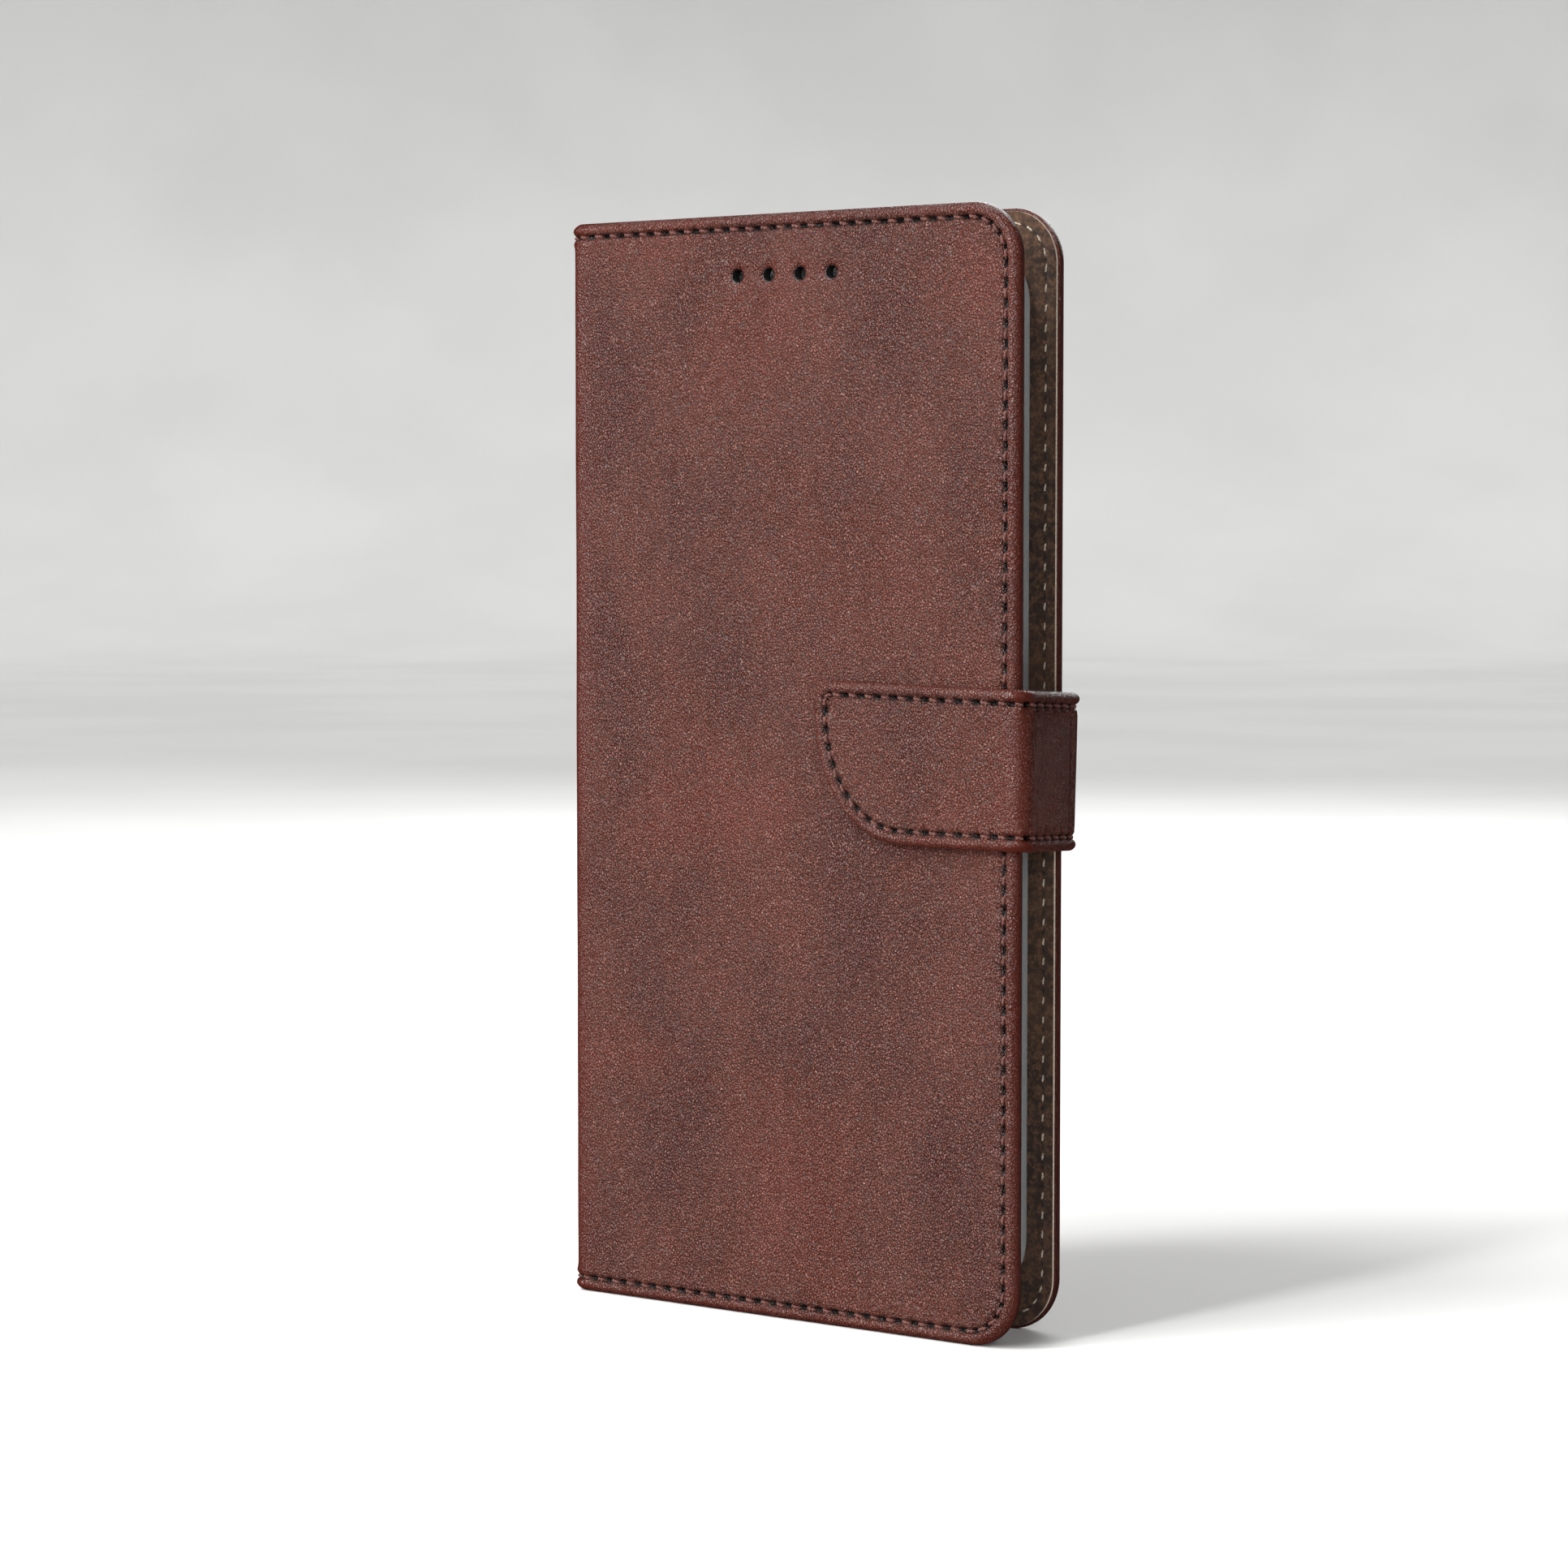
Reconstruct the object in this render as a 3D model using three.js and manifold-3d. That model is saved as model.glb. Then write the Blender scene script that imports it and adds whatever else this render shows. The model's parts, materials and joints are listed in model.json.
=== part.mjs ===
// A book-style phone wallet case in calf-grain synthetic leather, closed by a wrap-round magnetic strap.
//
// The case stands upright as when it is closed on a shelf. Case coordinates are millimetres:
//   x  from the outer face of the spine (0) towards the opening edge
//   y  from the outer face of the front cover (0) towards the outer face of the back cover
//   z  up from the bottom edge
// The whole group is shifted at the end, so that the origin is the middle of the foot of its box.
// Every crease that folds has a vertical axis. A panel ends at its axis in a half-round nose, and the
// next panel starts just clear of that nose, so any fold angle leaves the two apart.

import * as THREE from 'three';
import { mergeVertices } from 'three/addons/utils/BufferGeometryUtils.js';
import Module from 'manifold-3d';

const wasm = await Module();
wasm.setup();

// ---- Driving dimensions ------------------------------------------------------------------------

const HEIGHT = 160;           // covers and spine, bottom edge to top edge
const FRONT_WIDTH = 80;       // spine face to the front cover's opening edge
const BACK_WIDTH = 77.5;      // spine face to the back cover's opening edge
const DEPTH = 16.2;           // outer face to outer face, closed
const CORNER_R = 8;           // cover corners on the opening edge
const SPINE_CORNER_R = 1.2;   // cover corners at the spine

const COVER_T = 2.2;          // leather, board and lining together
const SKIN_T = 0.9;           // leather over a board
const LINING_T = 0.5;
const GLUE = 0.05;            // glue line between layers
const FOLD_GAP = 0.3;         // running clearance at a crease
const BOARD_INSET = 3.4;      // cover edge to board edge
const LINING_INSET = 0.4;     // cover edge to lining edge

const SEAM_INSET = 2.1;       // edge to the middle of a stitch line
const GROOVE_W = 0.9;         // pressed groove that holds the thread
const GROOVE_D = 0.34;
const THREAD_W = 0.5;
const THREAD_SINK = 0.03;     // thread crown below the leather surface
const THREAD_T = 0.26;

const HOLE_R = 1.05;          // earpiece holes in the front cover
const HOLE_COUNT = 4;
const HOLE_PITCH = 5.6;
const HOLE_X = 39.5;          // middle of the row
const HOLE_Z = 151.2;

const SHELL_X = [2.9, 73.2];  // phone shell, outer faces
const SHELL_Y = [4.2, 13.6];
const SHELL_Z = [4.5, 155.5];
const SHELL_WALL = 1.3;
const SHELL_FLOOR = 1.2;
const SHELL_R = 9;
const LIP_REACH = 0.6;        // how far the rim hooks over the phone
const LIP_T = 0.8;

const CAMERA_X = [55, 68];    // camera window through shell and back cover
const CAMERA_Z = [120, 149];
const CAMERA_R = 4.5;
const WINDOW_STEP = 0.8;      // board and lining stand back from the leather's window edge

const PORT_X = [32.5, 43.5];  // charging port cut-out in the shell's lower wall
const PORT_Y = [6.2, 11.4];
const JACK_X = 20;            // earphone hole, same wall
const JACK_R = 2.6;
const SOUND_X = [50, 53, 56, 59];
const SOUND_R = 0.75;

const BUTTON_Y = 8.9;         // middle line of the side buttons
const BUTTON_W = 4.4;
const BUTTON_PROUD = 1.0;
const BUTTONS = [
  { name: 'volume_button_cover', z: [109.2, 130.2] },
  { name: 'power_button_cover', z: [90.4, 101.2] },
];
const BUTTON_CLEAR = 0.3;
const RELIEF_Z = [102.6, 107.8];  // thumb relief between the two buttons
const RELIEF_D = 0.6;

const STRAP_T = 1.6;
const STRAP_SKIN = 1.05;      // outer layer at its rim
const STRAP_GAP = 0.25;       // strap to the covers it wraps
const BEND_STAND = 0.5;       // the front bend stands this much further off the cover's edge
const STRAP_TOP = 92.6;       // at the front bend
const STRAP_FOOT = 70.1;
const STRAP_RISE = 0.7;       // the strap climbs a little towards its tip
const STRAP_SIDE_DROP = 1.0;  // and drops a little towards its root
const STRAP_TIP_X = 46.4;
const STRAP_ROOT_X = 49;      // inner end of the part sewn to the back cover
const STRAP_SEAM = 2.0;
const MAGNET_R = 5.5;
const MAGNET_T = 0.45;
const MAGNET_AT = [63, 81.6];

const POCKET_T = 0.35;
const POCKET_GAP = 0.06;

const CURVE_STEPS = 9;

// ---- Derived -----------------------------------------------------------------------------------

const HALF_T = COVER_T / 2;
const RIM_T = COVER_T - LINING_T - GLUE;              // leather thickness outside the board
const BOARD_T = RIM_T - SKIN_T - 2 * GLUE;
const FRONT_HINGE = { x: HALF_T, y: HALF_T };
const BACK_HINGE = { x: HALF_T, y: DEPTH - HALF_T };
const SPINE_Y = [COVER_T + FOLD_GAP, DEPTH - COVER_T - FOLD_GAP];

const HALF_STRAP = STRAP_T / 2;
const FLAP_Y = [-STRAP_GAP - STRAP_T, -STRAP_GAP];
const TAB_Y = [DEPTH + STRAP_GAP, DEPTH + STRAP_GAP + STRAP_T];
const TIP_HINGE = { x: FRONT_WIDTH + BEND_STAND + STRAP_GAP + HALF_STRAP, y: FLAP_Y[0] + HALF_STRAP };
const ROOT_HINGE = { x: BACK_WIDTH + STRAP_GAP + HALF_STRAP, y: TAB_Y[0] + HALF_STRAP };
const STRAP_LINING_T = STRAP_T - STRAP_SKIN - GLUE;

const BOX_X = [0, TIP_HINGE.x + HALF_STRAP];
const BOX_Y = [FLAP_Y[0], TAB_Y[1]];

// ---- Materials ---------------------------------------------------------------------------------

const finish = (color, roughness, metalness = 0) =>
  new THREE.MeshStandardMaterial({ color, roughness, metalness });

const LEATHER = finish(0x6b4138, 0.45);
const LEATHER_DARK = finish(0x5a3029, 0.42);
const SUEDE = finish(0x46352a, 0.95);
const BOARD = finish(0x8c8478, 0.9);
const THREAD = finish(0x4a2019, 0.5);
const CREAM_THREAD = finish(0xbfb2a0, 0.6);
const STEEL = finish(0xa8abad, 0.35, 0.9);
const SHELL = finish(0xb4b8b8, 0.3);
const ADHESIVE = finish(0xd9d6cc, 0.7);

const withAlpha = (material, opacity) => {
  material.transparent = true;
  material.opacity = opacity;
  return material;
};
withAlpha(SHELL, 0.6);

// ---- Solid helpers -----------------------------------------------------------------------------

function toSolid(geometry) {
  const bare = geometry.clone();
  bare.deleteAttribute('normal');
  bare.deleteAttribute('uv');
  const merged = mergeVertices(bare, 1e-5);
  const vertProperties = new Float32Array(merged.attributes.position.array);
  const triVerts = new Uint32Array(merged.index.array);
  return new wasm.Manifold(new wasm.Mesh({ numProp: 3, vertProperties, triVerts }));
}

function toGeometry(solid) {
  const mesh = solid.getMesh();
  const geometry = new THREE.BufferGeometry();
  geometry.setAttribute('position', new THREE.BufferAttribute(new Float32Array(mesh.vertProperties), 3));
  geometry.setIndex(new THREE.BufferAttribute(new Uint32Array(mesh.triVerts), 1));
  geometry.computeVertexNormals();
  return geometry;
}

function cut(geometry, ...tools) {
  let solid = toSolid(geometry);
  for (const tool of tools) {
    solid = solid.subtract(toSolid(tool));
  }
  return toGeometry(solid);
}

const clip = (a, b) => toGeometry(toSolid(a).intersect(toSolid(b)));

const extrude = (shape, depth) =>
  new THREE.ExtrudeGeometry(shape, { depth, bevelEnabled: false, curveSegments: CURVE_STEPS });

// A shape drawn in x and z, made solid between two y values.
const plateY = (shape, [y0, y1]) => extrude(shape, y1 - y0).rotateX(Math.PI / 2).translate(0, y1, 0);

// A shape drawn in x and y, made solid between two z values.
const prismZ = (shape, [z0, z1]) => extrude(shape, z1 - z0).translate(0, 0, z0);

// A shape drawn in y and z, made solid between two x values.
const plateX = (shape, [x0, x1]) =>
  extrude(shape, x1 - x0).rotateX(Math.PI / 2).rotateZ(Math.PI / 2).translate(x0, 0, 0);

function boxAt([x0, x1], [y0, y1], [z0, z1]) {
  const box = new THREE.BoxGeometry(x1 - x0, y1 - y0, z1 - z0);
  return box.translate((x0 + x1) / 2, (y0 + y1) / 2, (z0 + z1) / 2);
}

function polygon(points) {
  return new THREE.Shape(points.map(([u, v]) => new THREE.Vector2(u, v)));
}

// Rectangle with its own corner radius on the low-u side and on the high-u side.
function roundedRect([u0, u1], [v0, v1], lowR, highR = lowR) {
  const shape = new THREE.Shape();
  shape.moveTo(u0 + lowR, v0);
  shape.lineTo(u1 - highR, v0);
  shape.absarc(u1 - highR, v0 + highR, highR, -Math.PI / 2, 0, false);
  shape.lineTo(u1, v1 - highR);
  shape.absarc(u1 - highR, v1 - highR, highR, 0, Math.PI / 2, false);
  shape.lineTo(u0 + lowR, v1);
  shape.absarc(u0 + lowR, v1 - lowR, lowR, Math.PI / 2, Math.PI, false);
  shape.lineTo(u0, v0 + lowR);
  shape.absarc(u0 + lowR, v0 + lowR, lowR, Math.PI, 1.5 * Math.PI, false);
  return shape;
}

function disc(x, z, radius) {
  const shape = new THREE.Shape();
  shape.absarc(x, z, radius, 0, 2 * Math.PI, false);
  return shape;
}

// Strip of the given width along an open line of points, square at both ends.
function strip(points, width) {
  const left = [];
  const right = [];
  points.forEach(([u, v], i) => {
    const [pu, pv] = points[Math.max(i - 1, 0)];
    const [nu, nv] = points[Math.min(i + 1, points.length - 1)];
    const length = Math.hypot(nu - pu, nv - pv);
    const du = (-(nv - pv) / length) * (width / 2);
    const dv = ((nu - pu) / length) * (width / 2);
    left.push([u + du, v + dv]);
    right.push([u - du, v - dv]);
  });
  return polygon([...left, ...right.reverse()]);
}

// Strip along a line whose bends are right angles, with square outer corners.
function mitredStrip(points, width) {
  const half = width / 2;
  const [a, b, c, d] = points;
  return polygon([
    [a[0], a[1] + half],
    [b[0] + half, b[1] + half],
    [c[0] + half, c[1] - half],
    [d[0], d[1] - half],
    [d[0], d[1] + half],
    [c[0] - half, c[1] + half],
    [b[0] - half, b[1] - half],
    [a[0], a[1] - half],
  ]);
}

const arcPoints = (cu, cv, ru, rv, from, to, steps = CURVE_STEPS) =>
  Array.from({ length: steps + 1 }, (_, i) => {
    const angle = from + ((to - from) * i) / steps;
    return [cu + ru * Math.cos(angle), cv + rv * Math.sin(angle)];
  });

// The stitch line of a cover: in from the spine along the top, round the opening edge, and back.
function coverSeam(startX, width) {
  const r = CORNER_R - SEAM_INSET;
  const cx = width - CORNER_R;
  return [
    [startX, HEIGHT - SEAM_INSET],
    ...arcPoints(cx, HEIGHT - CORNER_R, r, r, Math.PI / 2, 0),
    ...arcPoints(cx, CORNER_R, r, r, 0, -Math.PI / 2),
    [startX, SEAM_INSET],
  ];
}

const node = (name, geometry, material) => {
  const mesh = new THREE.Mesh(geometry, material);
  mesh.name = name;
  return mesh;
};

// ---- Cover layers ------------------------------------------------------------------------------

// Section of a cover across its width: a slab whose spine end is a half-round nose on the crease.
function coverSection(width, hinge) {
  const shape = new THREE.Shape();
  shape.moveTo(width, hinge.y - HALF_T);
  shape.lineTo(width, hinge.y + HALF_T);
  shape.lineTo(hinge.x, hinge.y + HALF_T);
  shape.absarc(hinge.x, hinge.y, HALF_T, Math.PI / 2, 1.5 * Math.PI, false);
  return shape;
}

const coverOutline = (width, inset = 0) =>
  roundedRect([inset, width - inset], [inset, HEIGHT - inset], SPINE_CORNER_R, CORNER_R - inset);

const boardOutline = (width, extra = 0) => {
  const inset = BOARD_INSET - extra;
  return roundedRect([inset, width - inset], [inset, HEIGHT - inset], SPINE_CORNER_R, CORNER_R - inset);
};

// A layer with the nose of the cover on its spine end.
function coverLayer(width, hinge, inset, ySpan) {
  const layer = plateY(coverOutline(width, inset), ySpan);
  return clip(layer, prismZ(coverSection(width + 1, hinge), [-1, HEIGHT + 1]));
}

// y spans of a cover's layers. outward is -1 when the leather faces -y and +1 when it faces +y.
function layerSpans(outerY, outward) {
  const span = (from, to) => (outward < 0 ? [outerY + from, outerY + to] : [outerY - to, outerY - from]);
  return {
    leather: span(0, RIM_T),
    pocket: span(SKIN_T, RIM_T + 1),
    board: span(SKIN_T + GLUE, SKIN_T + GLUE + BOARD_T),
    lining: span(RIM_T + GLUE, COVER_T),
    groove: span(-1, GROOVE_D),
    thread: span(THREAD_SINK, THREAD_SINK + THREAD_T),
    liningGroove: span(COVER_T - LINING_T * 0.5, COVER_T + 1),
    liningThread: span(COVER_T - LINING_T * 0.5 + GLUE, COVER_T - THREAD_SINK),
    through: span(-1, COVER_T + 1),
  };
}

const earpieceHoles = (ySpan) =>
  Array.from({ length: HOLE_COUNT }, (_, i) => {
    const x = HOLE_X + (i - (HOLE_COUNT - 1) / 2) * HOLE_PITCH;
    return plateY(disc(x, HOLE_Z, HOLE_R), ySpan);
  });

const cameraWindow = (ySpan, step = 0) => {
  const outline = roundedRect(
    [CAMERA_X[0] - step, CAMERA_X[1] + step],
    [CAMERA_Z[0] - step, CAMERA_Z[1] + step],
    CAMERA_R + step,
  );
  return plateY(outline, ySpan);
};

function frontCover() {
  const spans = layerSpans(0, -1);
  const seam = coverSeam(FRONT_HINGE.x, FRONT_WIDTH);
  const holes = earpieceHoles(spans.through);
  const [magnetX, magnetZ] = MAGNET_AT;
  const leather = cut(
    coverLayer(FRONT_WIDTH, FRONT_HINGE, 0, spans.leather),
    plateY(boardOutline(FRONT_WIDTH, FOLD_GAP), spans.pocket),
    plateY(strip(coverSeam(-1, FRONT_WIDTH), GROOVE_W), spans.groove),
    ...holes,
  );
  const board = cut(
    plateY(boardOutline(FRONT_WIDTH), spans.board),
    plateY(disc(magnetX, magnetZ, MAGNET_R + FOLD_GAP), spans.through),
    ...holes,
  );
  const lining = cut(
    coverLayer(FRONT_WIDTH, FRONT_HINGE, LINING_INSET, spans.lining),
    plateY(strip(coverSeam(-1, FRONT_WIDTH), GROOVE_W), spans.liningGroove),
    ...holes,
  );
  return [
    node('front_outer_leather', leather, LEATHER),
    node('front_board', board, BOARD),
    node('front_keeper_plate', plateY(disc(magnetX, magnetZ, MAGNET_R), spans.board), STEEL),
    node('front_lining', lining, SUEDE),
    node('front_seam_thread', plateY(strip(seam, THREAD_W), spans.thread), THREAD),
    node('front_lining_thread', plateY(strip(seam, THREAD_W), spans.liningThread), CREAM_THREAD),
  ];
}

// Card and cash pockets lie on the front cover's lining, each lip further from the spine.
const CASH_PANEL = { x: [9, 76.6], z: [3.6, 146] };
const CARD_Z = [30, 124];
const CARD_LIPS = [19, 29, 39];
const CARD_EDGE_X = 72;

function pockets() {
  const layerY = (level) => {
    const y0 = COVER_T + POCKET_GAP + level * (POCKET_T + POCKET_GAP);
    return [y0, y0 + POCKET_T];
  };
  const seam = [
    [CARD_LIPS[0] + 2, CARD_Z[1] - 1.6],
    [CARD_EDGE_X - 1.6, CARD_Z[1] - 1.6],
    [CARD_EDGE_X - 1.6, CARD_Z[0] + 1.6],
    [CARD_LIPS[0] + 2, CARD_Z[0] + 1.6],
  ];
  const panels = CARD_LIPS.map((lip, i) => {
    const outline = roundedRect([lip, CARD_EDGE_X], CARD_Z, 1);
    return node(`card_pocket_${i + 1}`, plateY(outline, layerY(i + 1)), SUEDE);
  });
  const top = layerY(CARD_LIPS.length + 1);
  const thread = [top[0], top[0] + THREAD_T];
  return [
    node('cash_pocket_panel', plateY(roundedRect(CASH_PANEL.x, CASH_PANEL.z, 1, 4.4), layerY(0)), SUEDE),
    ...panels,
    node('card_pocket_thread', plateY(mitredStrip(seam, THREAD_W), thread), CREAM_THREAD),
  ];
}

function spine() {
  const outline = (inset) => roundedRect(
    [SPINE_Y[0] + inset, SPINE_Y[1] - inset], [inset, HEIGHT - inset], 0.4,
  );
  const [y0, y1] = SPINE_Y;
  const grooves = [SEAM_INSET, HEIGHT - SEAM_INSET].map((z) =>
    boxAt([-1, GROOVE_D], [y0 - 1, y1 + 1], [z - GROOVE_W / 2, z + GROOVE_W / 2]));
  const threads = [['lower', SEAM_INSET], ['upper', HEIGHT - SEAM_INSET]].map(([name, z]) => {
    const x = [THREAD_SINK, THREAD_SINK + THREAD_T];
    return node(`spine_thread_${name}`, boxAt(x, [y0, y1], [z - THREAD_W / 2, z + THREAD_W / 2]), THREAD);
  });
  const leather = cut(
    plateX(outline(0), [0, RIM_T]),
    boxAt([SKIN_T, COVER_T], [y0 + 1.5, y1 - 1.5], [BOARD_INSET - FOLD_GAP, HEIGHT - BOARD_INSET + FOLD_GAP]),
    ...grooves,
  );
  const boardX = [SKIN_T + GLUE, SKIN_T + GLUE + BOARD_T];
  return [
    node('spine_outer_leather', leather, LEATHER),
    node('spine_stiffener', boxAt(boardX, [y0 + 1.8, y1 - 1.8], [BOARD_INSET, HEIGHT - BOARD_INSET]), BOARD),
    node('spine_lining', plateX(outline(LINING_INSET), [RIM_T + GLUE, COVER_T]), SUEDE),
    ...threads,
  ];
}

function backCover() {
  const spans = layerSpans(DEPTH, 1);
  const seam = coverSeam(BACK_HINGE.x, BACK_WIDTH);
  const leather = cut(
    coverLayer(BACK_WIDTH, BACK_HINGE, 0, spans.leather),
    cut(plateY(boardOutline(BACK_WIDTH, FOLD_GAP), spans.pocket), cameraWindow(spans.through, BOARD_INSET)),
    plateY(strip(coverSeam(-1, BACK_WIDTH), GROOVE_W), spans.groove),
    cameraWindow(spans.through),
  );
  const board = cut(
    plateY(boardOutline(BACK_WIDTH), spans.board),
    cameraWindow(spans.through, BOARD_INSET + FOLD_GAP),
  );
  const lining = cut(
    coverLayer(BACK_WIDTH, BACK_HINGE, LINING_INSET, spans.lining),
    plateY(strip(coverSeam(-1, BACK_WIDTH), GROOVE_W), spans.liningGroove),
    cameraWindow(spans.through, WINDOW_STEP),
  );
  return [
    node('back_outer_leather', leather, LEATHER),
    node('back_board', board, BOARD),
    node('back_lining', lining, SUEDE),
    node('back_seam_thread', plateY(strip(seam, THREAD_W), spans.thread), THREAD),
    node('back_lining_thread', plateY(strip(seam, THREAD_W), spans.liningThread), CREAM_THREAD),
  ];
}

// ---- Phone shell -------------------------------------------------------------------------------

const shellOutline = (inset) => roundedRect(
  [SHELL_X[0] + inset, SHELL_X[1] - inset],
  [SHELL_Z[0] + inset, SHELL_Z[1] - inset],
  SHELL_R - inset,
);

const stadium = ([u0, u1], [v0, v1]) => roundedRect([u0, u1], [v0, v1], (v1 - v0) / 2 - 0.01);

function phoneShell() {
  const floorY = SHELL_Y[1] - SHELL_FLOOR;
  const wallX = [SHELL_X[1] - SHELL_WALL - 1, SHELL_X[1] + 1];
  const footZ = [SHELL_Z[0] - 1, SHELL_Z[0] + SHELL_WALL + 1];
  const buttonSlots = BUTTONS.map(({ z }) => boxAt(
    wallX,
    [BUTTON_Y - BUTTON_W / 2 - BUTTON_CLEAR, BUTTON_Y + BUTTON_W / 2 + BUTTON_CLEAR],
    [z[0] - BUTTON_CLEAR, z[1] + BUTTON_CLEAR],
  ));
  const relief = boxAt(
    [SHELL_X[1] - RELIEF_D, SHELL_X[1] + 1],
    [BUTTON_Y - BUTTON_W / 2, BUTTON_Y + BUTTON_W / 2],
    RELIEF_Z,
  );
  const portMiddle = (PORT_Y[0] + PORT_Y[1]) / 2;
  const soundHoles = SOUND_X.map((x) => prismZ(disc(x, portMiddle, SOUND_R), footZ));
  const body = cut(
    plateY(shellOutline(0), SHELL_Y),
    plateY(shellOutline(SHELL_WALL), [SHELL_Y[0] + LIP_T, floorY]),
    plateY(shellOutline(SHELL_WALL + LIP_REACH), [SHELL_Y[0] - 1, floorY]),
    cameraWindow([floorY - 1, SHELL_Y[1] + 1], WINDOW_STEP),
    prismZ(stadium(PORT_X, PORT_Y), footZ),
    prismZ(disc(JACK_X, portMiddle, JACK_R), footZ),
    ...soundHoles,
    ...buttonSlots,
    relief,
  );
  return node('phone_shell', body, SHELL);
}

function adhesivePads() {
  const y = [SHELL_Y[1] + GLUE, DEPTH - COVER_T - GLUE];
  const spans = { lower: [16, 62], upper: [84, 112] };
  return Object.entries(spans).map(([name, z]) =>
    node(`shell_adhesive_${name}`, plateY(roundedRect([12, 64], z, 2), y), ADHESIVE));
}

function buttonCover({ name, z }) {
  const y = [BUTTON_Y - BUTTON_W / 2, BUTTON_Y + BUTTON_W / 2];
  const face = roundedRect(y, z, BUTTON_W / 2 - 0.4);
  const cap = plateX(face, [SHELL_X[1] - SHELL_WALL, SHELL_X[1] + BUTTON_PROUD]);
  return node(name, cap, SHELL);
}

// ---- Strap -------------------------------------------------------------------------------------

// Outline of the flap: straight edges that climb towards the tip, ended by one long quarter sweep.
function flapOutline(inset, endX) {
  const slope = STRAP_RISE / (TIP_HINGE.x - STRAP_TIP_X);
  const topAt = (x) => STRAP_TOP - inset + (TIP_HINGE.x - x) * slope;
  const footAt = (x) => STRAP_FOOT + inset + (TIP_HINGE.x - x) * slope * 0.3;
  const tipX = STRAP_TIP_X + inset;
  const sweepX = 15 - inset;
  const cornerR = Math.max(3 - inset, 0.6);
  const shoulderZ = topAt(tipX) - cornerR;
  const sweepZ = shoulderZ - 2 - footAt(tipX + sweepX);
  return [
    [endX, topAt(endX)],
    ...arcPoints(tipX + cornerR, shoulderZ, cornerR, cornerR, Math.PI / 2, Math.PI, 5),
    ...arcPoints(tipX + sweepX, shoulderZ - 2, sweepX, sweepZ, Math.PI, 1.5 * Math.PI, 14),
    [endX, footAt(endX)],
  ];
}

const noseSection = (farX, hinge) => {
  const shape = new THREE.Shape();
  shape.moveTo(farX, hinge.y + HALF_STRAP);
  shape.lineTo(farX, hinge.y - HALF_STRAP);
  shape.lineTo(hinge.x, hinge.y - HALF_STRAP);
  shape.absarc(hinge.x, hinge.y, HALF_STRAP, -Math.PI / 2, Math.PI / 2, false);
  return shape;
};

// A flat strap layer that ends in the half-round nose of its crease.
function strapLayer(outline, ySpan, farX, hinge) {
  const layer = plateY(polygon(outline), ySpan);
  return clip(layer, prismZ(noseSection(farX, hinge), [0, HEIGHT]));
}

function strapFlap() {
  const [outerY, innerY] = FLAP_Y;
  const endX = TIP_HINGE.x + HALF_STRAP;
  const skinY = [outerY, outerY + STRAP_SKIN];
  const liningY = [innerY - STRAP_LINING_T, innerY];
  const pocketY = [outerY + STRAP_SKIN - MAGNET_T - 2 * GLUE, outerY + STRAP_SKIN + 1];
  const magnetY = [pocketY[0] + GLUE, pocketY[0] + GLUE + MAGNET_T];
  const seam = flapOutline(STRAP_SEAM, TIP_HINGE.x);
  const seamCut = flapOutline(STRAP_SEAM, endX + 1);
  const farX = STRAP_TIP_X - 1;
  const [magnetX, magnetZ] = MAGNET_AT;
  const leather = cut(
    strapLayer(flapOutline(0, endX), skinY, farX, TIP_HINGE),
    plateY(disc(magnetX, magnetZ, MAGNET_R + FOLD_GAP), pocketY),
    plateY(strip(seamCut, GROOVE_W), [outerY - 1, outerY + GROOVE_D]),
  );
  const threadY = [outerY + THREAD_SINK, outerY + THREAD_SINK + THREAD_T];
  return [
    node('strap_flap_leather', leather, LEATHER),
    node('strap_flap_lining', strapLayer(flapOutline(0.3, endX), liningY, farX, TIP_HINGE), LEATHER_DARK),
    node('strap_flap_magnet', plateY(disc(magnetX, magnetZ, MAGNET_R), magnetY), STEEL),
    node('strap_flap_thread', plateY(strip(seam, THREAD_W), threadY), THREAD),
  ];
}

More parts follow.
